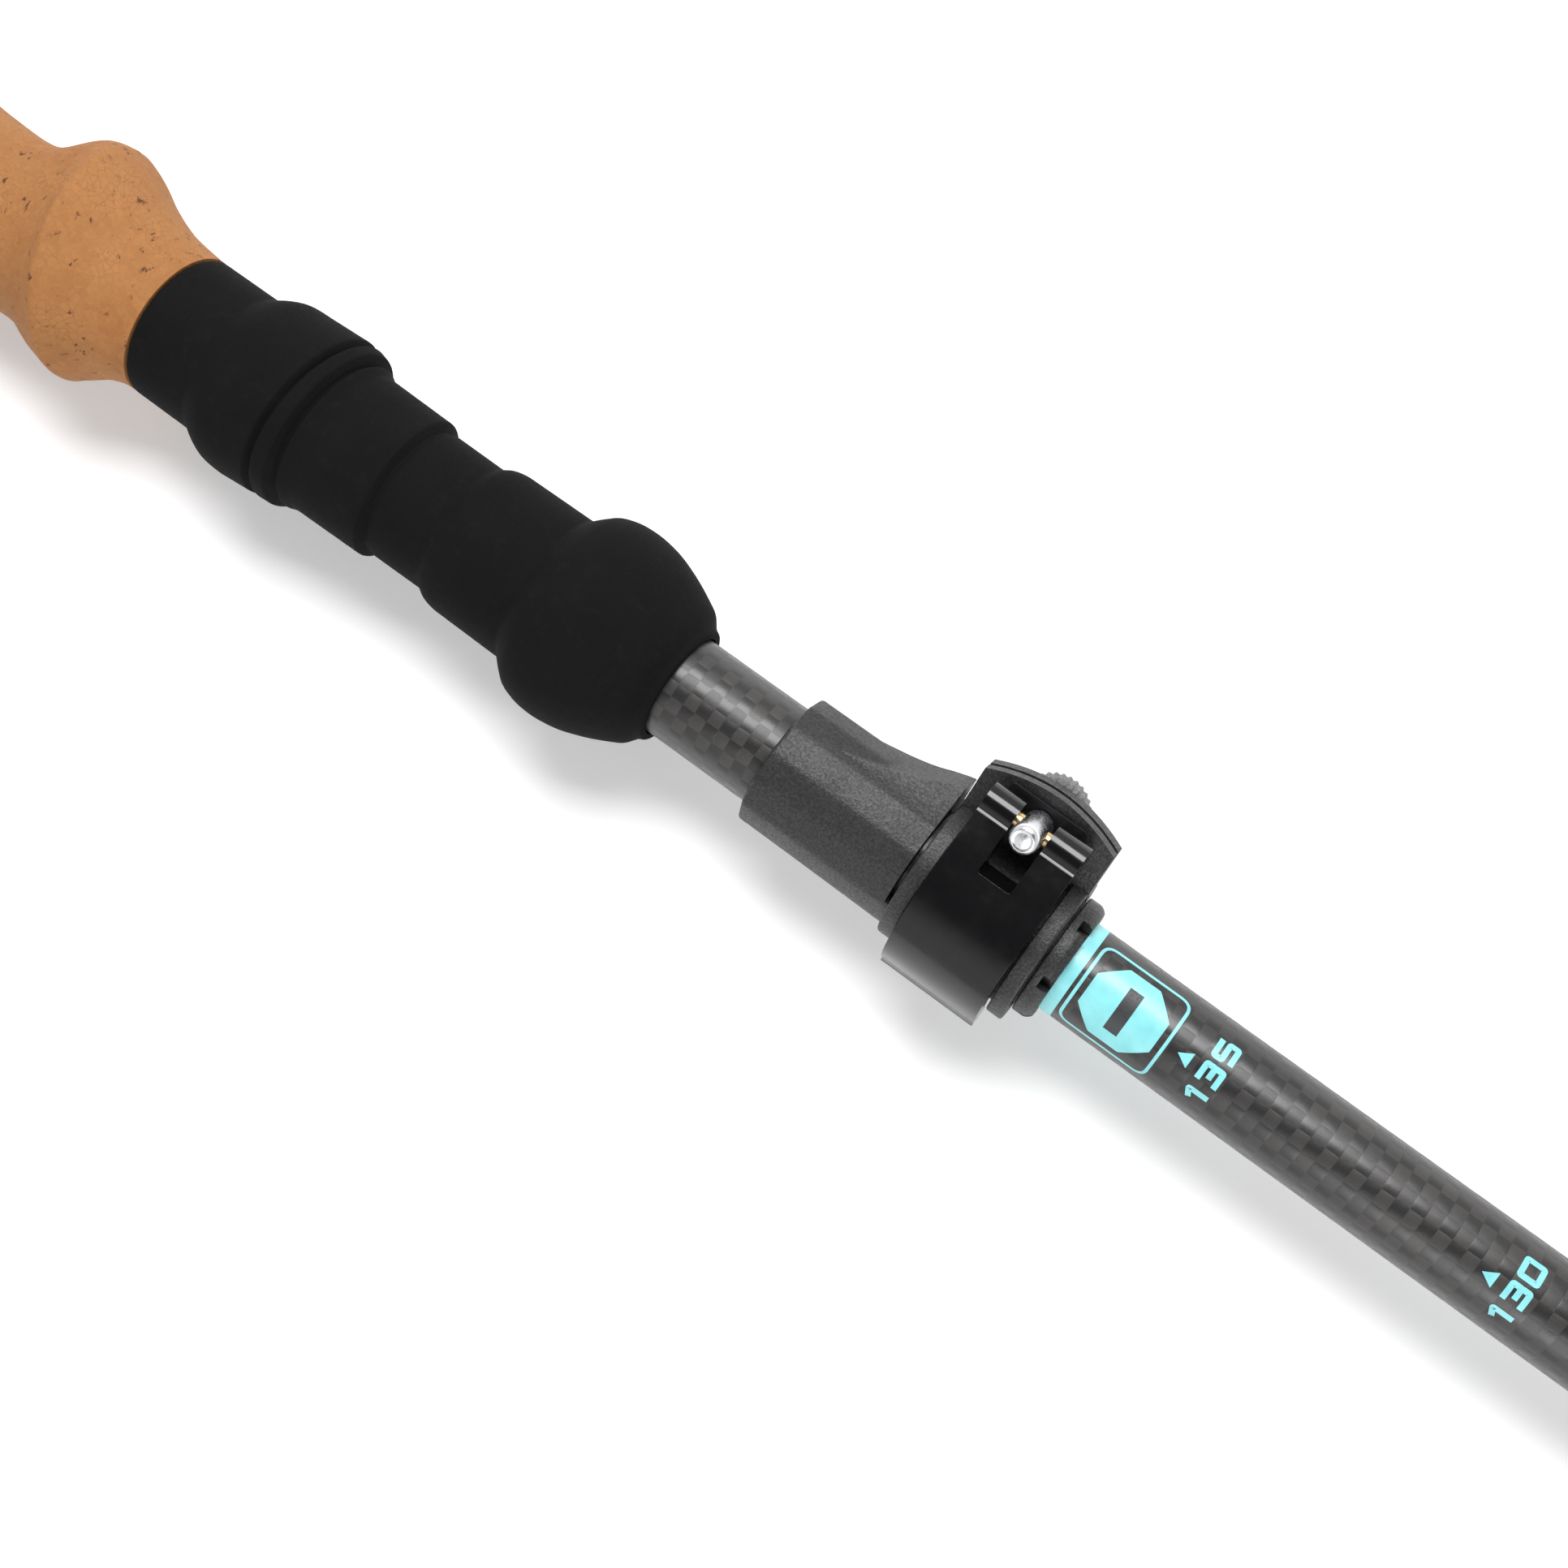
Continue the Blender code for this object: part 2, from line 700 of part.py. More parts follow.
def lock_hardware(prefix, lock, slim, steel, brass, grey):
    """Draw bolt through both ears, its cross pin, the saddle plate and the nut."""
    out = BOLT_OUT - slim
    bolt_outline = [
        (BOLT_BOTTOM, 0.0),
        (BOLT_BOTTOM, SHANK_RADIUS),
        (SADDLE_TOP + GAP, SHANK_RADIUS),
        (SADDLE_TOP + GAP, HEAD_RADIUS),
        (BOLT_TOP - 1.1, HEAD_RADIUS),
        (BOLT_TOP - 0.4, HEAD_RADIUS - 0.6),
        (BOLT_TOP, HEAD_RADIUS - 1.5),
        (BOLT_TOP, 0.0),
    ]
    bolt_name = prefix + "_draw_bolt"
    bolt = turned(bolt_name, bolt_outline, 20, lock, (BOLT_X, out, 0), steel, False)
    eye_name = "cut_" + prefix + "_eye"
    eye = place(
        eye_name,
        rod(eye_name, PIN_RADIUS + GAP, 10.0, 16),
        lock,
        (BOLT_X, out, PIN_UP),
        (0, math.pi / 2, 0),
    )
    boolean(bolt, eye, "DIFFERENCE")
    pin_name = prefix + "_lever_pin"
    place(
        pin_name,
        rod(pin_name, PIN_RADIUS, 15.6, 16),
        lock,
        (BOLT_X, out, PIN_UP),
        (0, math.pi / 2, 0),
        brass,
    )
    saddle_name = prefix + "_saddle_plate"
    saddle_mesh = box(saddle_name, (-6.5, -3.2, 0.0), (6.5, 3.2, 0.45))
    saddle_place = (BOLT_X, out, NEAR_EAR + GAP)
    saddle = place(saddle_name, saddle_mesh, lock, saddle_place, (0, 0, 0), steel)
    hole_name = "cut_" + prefix + "_saddle_hole"
    hole = place(
        hole_name,
        rod(hole_name, SHANK_RADIUS + GAP, 4.0),
        lock,
        saddle_place,
        (0, 0, 0),
    )
    boolean(saddle, hole, "DIFFERENCE")
    nut_outline = [
        (-NUT_HEIGHT, NUT_RADIUS - 0.5),
        (-NUT_HEIGHT + 0.5, NUT_RADIUS),
        (-0.5, NUT_RADIUS),
        (0.0, NUT_RADIUS - 0.5),
        (0.0, SHANK_RADIUS + GAP),
        (-NUT_HEIGHT, SHANK_RADIUS + GAP),
    ]
    nut_place = (BOLT_X, out, FAR_EAR - GAP)
    turned(prefix + "_thumb_nut", nut_outline, 20, lock, nut_place, grey, False)


def quick_lock(prefix, axis, start, slim, looks):
    lock = empty(prefix + "_lock", (start, 0, 0), axis, LOCK_TURN)
    lock_housing(prefix, lock, slim, looks["matte"])
    collet(prefix, lock, slim, looks["matte"])
    lever(prefix, lock, slim, looks["gloss"])
    lock_hardware(prefix, lock, slim, looks["steel"], looks["brass"], looks["grey"])


# ---------------------------------------------------------------- tip


def tip_ferrule(axis, mat):
    """Tapered plastic end: socket for the tube, shoulder and basket thread."""
    outline = [
        (30.0, 0.0),
        (30.0, LOWER_RADIUS + GAP),
        (0.0, LOWER_RADIUS + GAP),
        (0.0, 7.7),
        (1.0, 8.1),
        (25.0, 8.4),
        (27.0, 9.3),
        (33.0, 9.3),
        (33.0, THREAD_RADIUS),
        (47.0, THREAD_RADIUS),
        (48.5, 6.4),
        (90.0, 5.2),
        (90.0, 2.9),
        (75.7, 2.9),
        (75.7, 0.0),
    ]
    turned("tip_ferrule", outline, 28, axis, (FERRULE, 0, 0), mat)


def basket(axis, mat):
    """Small round basket on a threaded hub, with a ring of round holes."""
    hub = THREAD_RADIUS + GAP
    outline = [
        (0.0, 9.3),
        (6.6, 9.6),
        (8.2, 17.0),
        (7.6, BASKET_RADIUS - 0.4),
        (8.2, BASKET_RADIUS),
        (10.6, BASKET_RADIUS),
        (11.2, BASKET_RADIUS - 0.4),
        (10.6, 17.0),
        (10.2, 9.8),
        (12.5, 9.3),
        (12.5, hub),
        (0.0, hub),
    ]
    at = (FERRULE + 33.0 + GAP, 0, 0)
    body = turned("basket", outline, 40, axis, at, mat)

    def holes(bm):
        for i in range(BASKET_HOLES):
            before = set(bm.verts)
            add_rod(bm, 2.3, 30.0, 12)
            x, y = polar(13.4, 360.0 * (i + 0.5) / BASKET_HOLES)
            for vert in set(bm.verts) - before:
                vert.co += Vector((x, y, 0.0)) * MM

    name = "cut_basket_holes"
    cutter = place(name, mesh_from(name, holes), axis, at, (0, math.pi / 2, 0))
    boolean(body, cutter, "DIFFERENCE")


def tip_metal(axis, steel, carbide):
    """Steel holder pressed in the ferrule, and the carbide point in the holder."""
    start = FERRULE + 76.0
    holder = [
        (0.0, 0.0),
        (0.0, 2.6),
        (14.0 + GAP, 2.6),
        (14.0 + GAP, 4.2),
        (20.0, 4.2),
        (28.0, 3.2),
        (28.0, 1.9),
        (23.5, 1.9),
        (23.5, 0.0),
    ]
    turned("tip_holder", holder, 20, axis, (start, 0, 0), steel)
    point_start = start + 23.5 + GAP
    length = CARBIDE_END - point_start
    point = [
        (0.0, 0.0),
        (0.0, 1.6),
        (length - 0.6, 1.6),
        (length, 1.1),
        (length, 0.0),
    ]
    turned("carbide_tip", point, 16, axis, (point_start, 0, 0), carbide)


def rubber_foot(axis, mat):
    """Walking foot pushed over the tip, flared to a flat end."""
    outline = [
        (39.8, 0.0),
        (39.8, 2.4),
        (31.0, 3.7),
        (23.0, 4.6),
        (15.9, 4.6),
        (15.9, 5.6),
        (0.0, 6.1),
        (0.0, 8.2),
        (1.5, 8.7),
        (6.0, 8.7),
        (10.0, 8.1),
        (30.0, 9.4),
        (42.0, 12.4),
        (48.0, 13.0),
        (51.0, 12.7),
        (51.0, 0.0),
    ]
    turned("rubber_foot", outline, 28, axis, (FOOT, 0, 0), mat)


# ---------------------------------------------------------------- assembly


def materials():
    return {
        "cork": material("cork", (0.60, 0.42, 0.26), 0.85),
        "foam": material("foam", (0.02, 0.02, 0.022), 0.9),
        "carbon": material("carbon", (0.035, 0.037, 0.04), 0.3),
        "matte": material("matte_plastic", (0.025, 0.025, 0.027), 0.6),
        "gloss": material("gloss_plastic", (0.012, 0.012, 0.013), 0.18),
        "grey": material("grey_plastic", (0.25, 0.25, 0.26), 0.5),
        "steel": material("steel", (0.62, 0.62, 0.62), 0.3, 1.0),
        "brass": material("brass", (0.66, 0.5, 0.28), 0.3, 1.0),
        "carbide": material("carbide", (0.25, 0.25, 0.26), 0.4, 1.0),
        "webbing": material("webbing", (0.03, 0.03, 0.032), 0.9),
        "padding": material("padding", (0.05, 0.05, 0.052), 0.95),
        "rubber": material("rubber", (0.025, 0.025, 0.025), 0.8),
    }


def build():
    looks = materials()
    axis = empty("pole_axis", (0, AXIS_OFFSET, AXIS_HEIGHT))
    slim = UPPER_RADIUS - MIDDLE_RADIUS

    grip_head(axis, looks["matte"], looks["steel"], looks["grey"])
    cork_grip(axis, looks["cork"])
    foam_sleeve(axis, looks["foam"])
    wrist_strap(axis, looks["webbing"], looks["padding"], looks["matte"])

    upper_end = UPPER_LOCK + TUBE_END
    middle_end = LOWER_LOCK + TUBE_END
    tube("upper_tube", axis, UPPER_TUBE_TOP, upper_end, UPPER_RADIUS, looks["carbon"])
    middle_start = upper_end - INSERTED
    tube("middle_tube", axis, middle_start, middle_end, MIDDLE_RADIUS, looks["carbon"])
    lower_start = middle_end - INSERTED
    lower_end = FERRULE + 30.0 - GAP
    tube("lower_tube", axis, lower_start, lower_end, LOWER_RADIUS, looks["carbon"])
    plug = UPPER_RADIUS - WALL - GAP
    plug_outline = [(0.0, 0.0), (0.0, plug), (8.0, plug), (8.0, 0.0)]
    plug_place = (UPPER_TUBE_TOP + 0.5, 0, 0)
    turned("upper_tube_plug", plug_outline, 24, axis, plug_place, looks["matte"])
    bush("middle_bush", axis, middle_start, MIDDLE_RADIUS, looks["grey"])
    bush("lower_bush", axis, lower_start, LOWER_RADIUS, looks["grey"])

    quick_lock("upper", axis, UPPER_LOCK, 0.0, looks)
    quick_lock("lower", axis, LOWER_LOCK, slim, looks)

    tip_ferrule(axis, looks["matte"])
    basket(axis, looks["matte"])
    tip_metal(axis, looks["steel"], looks["carbide"])
    rubber_foot(axis, looks["rubber"])


clear_scene()
PARTS = collection("trekking_pole")
TOOLS = collection("cutters")
build()
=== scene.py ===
import math

import bmesh
import bpy
from mathutils import Matrix, Vector
from mathutils.bvhtree import BVHTree


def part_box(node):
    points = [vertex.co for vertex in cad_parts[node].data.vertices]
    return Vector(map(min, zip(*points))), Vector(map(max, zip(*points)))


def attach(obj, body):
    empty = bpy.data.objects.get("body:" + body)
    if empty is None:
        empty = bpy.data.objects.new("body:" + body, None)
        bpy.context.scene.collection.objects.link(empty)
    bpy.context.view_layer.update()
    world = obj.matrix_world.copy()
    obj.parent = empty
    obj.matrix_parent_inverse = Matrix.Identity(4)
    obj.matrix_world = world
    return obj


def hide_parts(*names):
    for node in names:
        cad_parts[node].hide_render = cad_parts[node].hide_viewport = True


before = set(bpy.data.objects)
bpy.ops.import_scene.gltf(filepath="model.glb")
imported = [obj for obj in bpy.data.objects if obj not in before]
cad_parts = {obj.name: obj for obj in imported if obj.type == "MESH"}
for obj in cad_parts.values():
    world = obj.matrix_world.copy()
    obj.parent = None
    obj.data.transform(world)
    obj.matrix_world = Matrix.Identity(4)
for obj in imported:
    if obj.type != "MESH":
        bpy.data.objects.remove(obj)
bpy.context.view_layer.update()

# The looks of a trekking pole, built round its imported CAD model. Sizes are in
# millimetres unless a name says otherwise, and MM turns them into metres.
MM = 0.001


def box_mm(node):
    low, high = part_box(node)
    return [v / MM for v in low], [v / MM for v in high]


# ---------------------------------------------------------------- places, from the frame

MIDDLE_LOW, MIDDLE_HIGH = box_mm("middle_tube")
AXIS_Y = (MIDDLE_LOW[1] + MIDDLE_HIGH[1]) / 2
AXIS_Z = (MIDDLE_LOW[2] + MIDDLE_HIGH[2]) / 2
UPPER_LOCK = box_mm("upper_lock_housing")[0][0]
LOWER_LOCK = box_mm("lower_lock_housing")[0][0]
FOAM_START = box_mm("foam_sleeve")[0][0]
FOAM_LENGTH = box_mm("foam_sleeve")[1][0] - FOAM_START
HEAD_TOP = box_mm("grip_head")[0][0]
HEAD_END = box_mm("grip_head")[1][0]
FERRULE = box_mm("tip_ferrule")[0][0]
FOOT = box_mm("rubber_foot")[0][0]
BASKET = box_mm("basket")[0][0]
HOLDER = box_mm("tip_holder")[0][0]
POINT = box_mm("carbide_tip")[0][0]
PIN_LOW, PIN_HIGH = box_mm("strap_pin")
STRAP_PIN = Vector(((PIN_LOW[0] + PIN_HIGH[0]) / 2, (PIN_LOW[1] + PIN_HIGH[1]) / 2 - AXIS_Y))
LOCK_TURN = math.radians(26)

UPPER_RADIUS = 8.4
MIDDLE_RADIUS = 7.5
LOWER_RADIUS = 6.6
SLIM = UPPER_RADIUS - MIDDLE_RADIUS
WALL = 0.7
GAP = 0.3

AXIS = Matrix.Translation(Vector((0, AXIS_Y, AXIS_Z)) * MM)


def from_axis(x, y=0.0, z=0.0):
    """A frame on the pole's axis, x along it in the row frame."""
    return AXIS @ Matrix.Translation(Vector((x, y, z)) * MM)


def lock_frame(start):
    return from_axis(start) @ Matrix.Rotation(LOCK_TURN, 4, "X")


# ---------------------------------------------------------------- node helpers


class Graph:
    """Short ways to write a material's nodes."""

    def __init__(self, name):
        self.material = bpy.data.materials.new(name)
        self.material.use_nodes = True
        self.tree = self.material.node_tree
        self.shader = self.tree.nodes["Principled BSDF"]
        self.made = 0

    def node(self, kind, inputs=(), **settings):
        made = self.tree.nodes.new(kind)
        made.location = (-200 * (self.made // 6 + 1), -180 * (self.made % 6))
        self.made += 1
        for key, value in settings.items():
            setattr(made, key, value)
        for key, value in dict(inputs).items():
            self.feed(made.inputs[key], value)
        return made

    def feed(self, socket, value):
        if isinstance(value, bpy.types.NodeSocket):
            self.tree.links.new(value, socket)
        else:
            socket.default_value = value

    def math(self, operation, *values):
        made = self.node("ShaderNodeMath", operation=operation)
        for socket, value in zip(made.inputs, values):
            self.feed(socket, value)
        return made.outputs[0]

    def times(self, one, two):
        return self.math("MULTIPLY", one, two)

    def plus(self, one, two):
        return self.math("ADD", one, two)

    def either(self, share, one, two):
        """The first value where share is 1, and the second where it is 0."""
        return self.plus(self.times(one, share), self.times(two, self.math("SUBTRACT", 1.0, share)))

    def place(self):
        """The point in the row frame at rest, in metres."""
        return self.node("ShaderNodeTexCoord").outputs["Object"]

    def parts(self, vector):
        return self.node("ShaderNodeSeparateXYZ", {"Vector": vector}).outputs

    def join(self, x, y, z):
        return self.node("ShaderNodeCombineXYZ", {"X": x, "Y": y, "Z": z}).outputs[0]

    def noise(self, vector, scale, detail=3.0, rough=0.5):
        inputs = {"Vector": vector, "Scale": scale, "Detail": detail, "Roughness": rough}
        return self.node("ShaderNodeTexNoise", inputs).outputs["Fac"]

    def cells(self, vector, scale, feature="F1"):
        inputs = {"Vector": vector, "Scale": scale}
        return self.node("ShaderNodeTexVoronoi", inputs, feature=feature)

    def mix(self, share, one, two):
        made = self.node("ShaderNodeMix", data_type="RGBA")
        self.feed(made.inputs["Factor"], share)
        for key, value in (("A", one), ("B", two)):
            socket = [s for s in made.inputs if s.name == key and s.type == "RGBA"][0]
            self.feed(socket, (*value, 1) if isinstance(value, tuple) else value)
        return [s for s in made.outputs if s.type == "RGBA"][0]

    def map(self, value, low, high, to_low, to_high):
        inputs = {"Value": value, "From Min": low, "From Max": high}
        inputs.update({"To Min": to_low, "To Max": to_high})
        return self.node("ShaderNodeMapRange", inputs).outputs[0]

    def spread(self, noise, to_low, to_high):
        """A noise's usual range, 0.3 to 0.7, stretched to another."""
        return self.map(noise, 0.3, 0.7, to_low, to_high)

    def bump(self, height, distance, strength):
        inputs = {"Height": height, "Distance": distance, "Strength": strength}
        return self.node("ShaderNodeBump", inputs).outputs[0]

    def finish(self, colour, rough, normal=None, **sockets):
        for key, value in (("Base Color", colour), ("Roughness", rough), ("Normal", normal)):
            if value is not None:
                self.feed(self.shader.inputs[key], value)
        for key, value in sockets.items():
            self.shader.inputs[key.replace("_", " ")].default_value = value
        return self.material


# ---------------------------------------------------------------- materials


def round_axis(g):
    """(distance along the pole, turn about it from -0.5 to 0.5), in metres and turns."""
    x, y, z = g.parts(g.place())
    across = g.math("SUBTRACT", y, AXIS_Y * MM)
    up = g.math("SUBTRACT", z, AXIS_Z * MM)
    turn = g.math("DIVIDE", g.math("ARCTAN2", up, across), math.tau)
    return x, turn


def carbon(name, tows_round, pitch):
    """Plain-weave carbon cloth under clear lacquer: tows along and round the tube, the two ways
    painted in a darker and a lighter copy of one colour as sheen.
    """
    g = Graph(name)
    x, turn = round_axis(g)
    wander = g.times(g.noise(g.place(), 90.0, 2.0), 0.16)
    along = g.plus(g.math("DIVIDE", x, pitch * MM), wander)
    around = g.plus(g.times(turn, float(tows_round)), wander)
    checker = g.plus(g.math("FLOOR", along), g.math("FLOOR", around))
    over = g.math("PINGPONG", checker, 1.0)
    in_x = g.math("FRACT", along)
    in_turn = g.math("FRACT", around)
    crown_x = g.math("SINE", g.times(in_x, math.pi))
    crown_turn = g.math("SINE", g.times(in_turn, math.pi))
    long_tow = g.times(crown_x, g.math("POWER", crown_turn, 0.45))
    round_tow = g.times(crown_turn, g.math("POWER", crown_x, 0.45))
    height = g.either(over, long_tow, round_tow)
    fibre_x = g.noise(g.join(g.times(x, 90.0), g.times(turn, 900.0), 0.0), 4.0)
    fibre_turn = g.noise(g.join(g.times(x, 2600.0), g.times(turn, 30.0), 0.0), 4.0)
    fibre = g.either(over, fibre_x, fibre_turn)
    patch = g.noise(g.place(), 45.0, 2.0)
    shade = g.times(g.plus(fibre, patch), 0.5)
    # Painted sheen: the tows along the tube and the tows round it get a darker and a lighter copy of
    # one carbon colour, standing in for the way light catches fibres running each way.
    painted_tow_sheen = g.mix(over, (0.013, 0.012, 0.0115), (0.032, 0.029, 0.027))
    colour = g.mix(g.map(shade, 0.35, 0.65, 0.15, 0.9), (0.009, 0.0087, 0.0087), painted_tow_sheen)
    rough = g.map(g.plus(fibre, g.times(over, 0.5)), 0.3, 1.2, 0.34, 0.5)
    lift = g.plus(height, g.times(fibre, 0.25))
    return g.finish(
        colour,
        rough,
        g.bump(lift, 0.0001, 0.5),
        Coat_Weight=0.25,
        Coat_Roughness=0.22,
        Specular_IOR_Level=0.42,
    )


def cork():
    """Fine pressed cork: small close granules, faint seams, dark flecks and pits."""
    g = Graph("cork")
    spot = g.place()
    warp = g.noise(spot, 700.0, 3.0)
    shift = g.join(g.times(warp, 0.0009), g.times(warp, -0.0007), 0.0)
    bent = g.node("ShaderNodeVectorMath", {0: spot, 1: shift}, operation="ADD").outputs[0]
    grains = g.cells(bent, 900.0)
    seams = g.cells(bent, 900.0, "DISTANCE_TO_EDGE").outputs["Distance"]
    tone = g.parts(grains.outputs["Color"])[0]
    blur = g.noise(spot, 1500.0, 4.0, 0.6)
    drift = g.noise(spot, 90.0, 4.0, 0.6)
    base = g.mix(tone, (0.245, 0.098, 0.026), (0.29, 0.122, 0.035))
    base = g.mix(g.spread(blur, 0.0, 0.5), base, (0.215, 0.082, 0.021))
    base = g.mix(g.map(drift, 0.35, 0.7, 0.0, 0.55), base, (0.33, 0.150, 0.048))
    seam = g.times(g.map(seams, 0.0, 0.06, 1.0, 0.0), g.map(drift, 0.42, 0.6, 0.0, 0.5))
    base = g.mix(seam, base, (0.13, 0.048, 0.014))
    stretched = g.node("ShaderNodeMapping", {"Vector": bent, "Scale": (1.0, 0.5, 1.0)}).outputs[0]
    flecks = g.noise(stretched, 900.0, 3.0, 0.6)
    rare = g.map(g.noise(spot, 300.0, 2.0), 0.5, 0.6, 0.0, 1.0)
    fleck = g.times(g.map(flecks, 0.6, 0.66, 0.0, 1.0), rare)
    colour = g.mix(fleck, base, (0.075, 0.026, 0.009))
    pits = g.plus(g.times(fleck, -1.0), g.times(seam, -0.4))
    dust = g.noise(spot, 2600.0, 2.0)
    normal = g.bump(g.plus(pits, g.times(dust, 0.35)), 0.00014, 0.6)
    return g.finish(colour, g.spread(dust, 0.72, 0.88), normal, Specular_IOR_Level=0.35)


def foam():
    """Matte closed-cell foam with very fine pores."""
    g = Graph("eva_foam")
    spot = g.place()
    pores = g.cells(spot, 3400.0).outputs["Distance"]
    skin = g.noise(spot, 5200.0, 3.0, 0.6)
    cloud = g.noise(spot, 120.0, 3.0)
    scuff = g.map(g.noise(spot, 420.0, 4.0, 0.6), 0.55, 0.75, 0.0, 0.5)
    colour = g.mix(cloud, (0.0032, 0.0032, 0.0033), (0.0055, 0.0055, 0.0056))
    colour = g.mix(scuff, colour, (0.0075, 0.0075, 0.0075))
    height = g.plus(g.times(pores, 0.8), g.times(skin, 0.6))
    shine, normal = g.spread(skin, 0.78, 0.92), g.bump(height, 0.00006, 0.5)
    return g.finish(colour, shine, normal, Specular_IOR_Level=0.08)


def grained_plastic(name, dark, light, rough, grain=2900.0, depth=0.00008):
    """Moulded plastic with a spark-eroded grain and slightly polished patches."""
    g = Graph(name)
    spot = g.place()
    grit = g.noise(spot, grain, 2.5, 0.65)
    worn = g.noise(spot, 160.0, 3.0)
    colour = g.mix(g.map(grit, 0.4, 0.66, 0.0, 1.0), dark, light)
    shine = g.plus(g.spread(grit, rough + 0.08, rough - 0.08), g.spread(worn, -0.04, 0.04))
    return g.finish(colour, shine, g.bump(grit, depth, 0.7), Specular_IOR_Level=0.38)


def gloss_plastic():
    """Polished black moulding with a faint handling haze."""
    g = Graph("gloss_black")
    spot = g.place()
    haze = g.noise(spot, 240.0, 4.0, 0.6)
    ripple = g.noise(spot, 55.0, 1.0)
    speck = g.map(g.noise(spot, 3800.0, 1.0), 0.7, 0.78, 0.0, 0.25)
    colour = g.mix(speck, (0.003, 0.003, 0.0034), (0.012, 0.012, 0.012))
    return g.finish(
        colour,
        g.map(haze, 0.35, 0.75, 0.13, 0.24),
        g.bump(ripple, 0.0006, 0.25),
        Specular_IOR_Level=0.4,
        Coat_Weight=0.1,
        Coat_Roughness=0.05,
    )


def metal(name, colour, rough, turn_marks=True):
    """Machined metal with fine tool marks round its own axis."""
    g = Graph(name)
    spot = g.place()
    marks = g.noise(spot, 2400.0, 2.0)
    blot = g.noise(spot, 500.0, 3.0)
    tint = g.mix(g.spread(blot, 0.0, 0.5), colour, tuple(0.72 * v for v in colour))
    height = marks if turn_marks else blot
    shine = g.spread(marks, rough - 0.06, rough + 0.1)
    return g.finish(tint, shine, g.bump(height, 0.00001, 0.25), Metallic=1.0)


def ink():
    """Screen-printed turquoise ink, a little uneven where it lies over the weave."""
    g = Graph("turquoise_ink")
    spot = g.place()
    cloth = g.noise(spot, 420.0, 2.0)
    grain = g.noise(spot, 3000.0, 2.0)
    colour = g.mix(g.spread(cloth, 0.0, 1.0), (0.155, 0.47, 0.50), (0.19, 0.55, 0.57))
    normal = g.bump(grain, 0.00002, 0.3)
    return g.finish(
        colour, g.spread(grain, 0.36, 0.5), normal, Coat_Weight=0.3, Coat_Roughness=0.2
    )


def dark_ink():
    """The dark print inside the turquoise sign."""
    g = Graph("dark_ink")
    grain = g.noise(g.place(), 2800.0, 2.0)
    colour = g.mix(grain, (0.014, 0.015, 0.018), (0.026, 0.027, 0.03))
    return g.finish(colour, g.spread(grain, 0.4, 0.55), g.bump(grain, 0.00002, 0.3))


def webbing():
    """Flat woven strap: fine ribs across, each crossed by its warp threads, with painted shade in
    the weave's hollows.
    """
    g = Graph("webbing")
    u, v, _ = g.parts(g.node("ShaderNodeUVMap", uv_map="weave").outputs[0])
    along = g.times(u, 1.0 / 0.9)
    across = g.times(v, 1.0 / 0.75)
    row = g.math("FLOOR", along)
    odd = g.times(g.math("PINGPONG", row, 1.0), 0.5)
    thread = g.math("SINE", g.times(g.math("FRACT", g.plus(across, odd)), math.pi))
    rib = g.math("SINE", g.times(g.math("FRACT", along), math.pi))
    height = g.times(g.math("POWER", thread, 0.6), g.math("POWER", rib, 0.6))
    fuzz = g.noise(g.place(), 5200.0, 2.0)
    # Painted shade and highlight: the colour follows the weave's height, so it is lighter on thread
    # crowns and darker in the hollows between threads and ribs. The fuzz noise adds random tone.
    lit = g.times(height, g.map(fuzz, 0.2, 0.8, 0.6, 1.0))
    colour = g.mix(lit, (0.006, 0.006, 0.0065), (0.030, 0.030, 0.031))
    normal = g.bump(g.plus(height, g.times(fuzz, 0.3)), 0.00016, 0.8)
    shine = g.spread(fuzz, 0.7, 0.9)
    return g.finish(colour, shine, normal, Sheen_Weight=0.12, Sheen_Roughness=0.5)


def lining():
    """Brushed soft lining, a dense short nap."""
    g = Graph("brushed_lining")
    spot = g.place()
    nap = g.noise(spot, 3600.0, 4.0, 0.7)
    cloud = g.noise(spot, 300.0, 3.0)
    lit = g.map(g.plus(nap, cloud), 0.7, 1.3, 0.0, 1.0)
    colour = g.mix(lit, (0.020, 0.020, 0.021), (0.048, 0.048, 0.050))
    shine, normal = g.spread(nap, 0.85, 0.97), g.bump(nap, 0.0002, 0.6)
    return g.finish(colour, shine, normal, Sheen_Weight=0.25, Sheen_Roughness=0.6)


def thread():
    """Sewing thread with a light twist."""
    g = Graph("thread")
    spot = g.place()
    twist = g.noise(spot, 6200.0, 2.0)
    colour = g.mix(twist, (0.035, 0.035, 0.037), (0.075, 0.075, 0.078))
    return g.finish(colour, g.spread(twist, 0.55, 0.75), g.bump(twist, 0.00005, 0.6))


def rubber():
    """Walking rubber: matte, with a faint bloom and small scuffs."""
    g = Graph("rubber")
    spot = g.place()
    grit = g.noise(spot, 2200.0, 3.0, 0.6)
    bloom = g.noise(spot, 160.0, 4.0)
    colour = g.mix(g.map(bloom, 0.35, 0.7, 0.0, 1.0), (0.012, 0.012, 0.012), (0.028, 0.027, 0.026))
    return g.finish(colour, g.spread(bloom, 0.62, 0.85), g.bump(grit, 0.00008, 0.5))


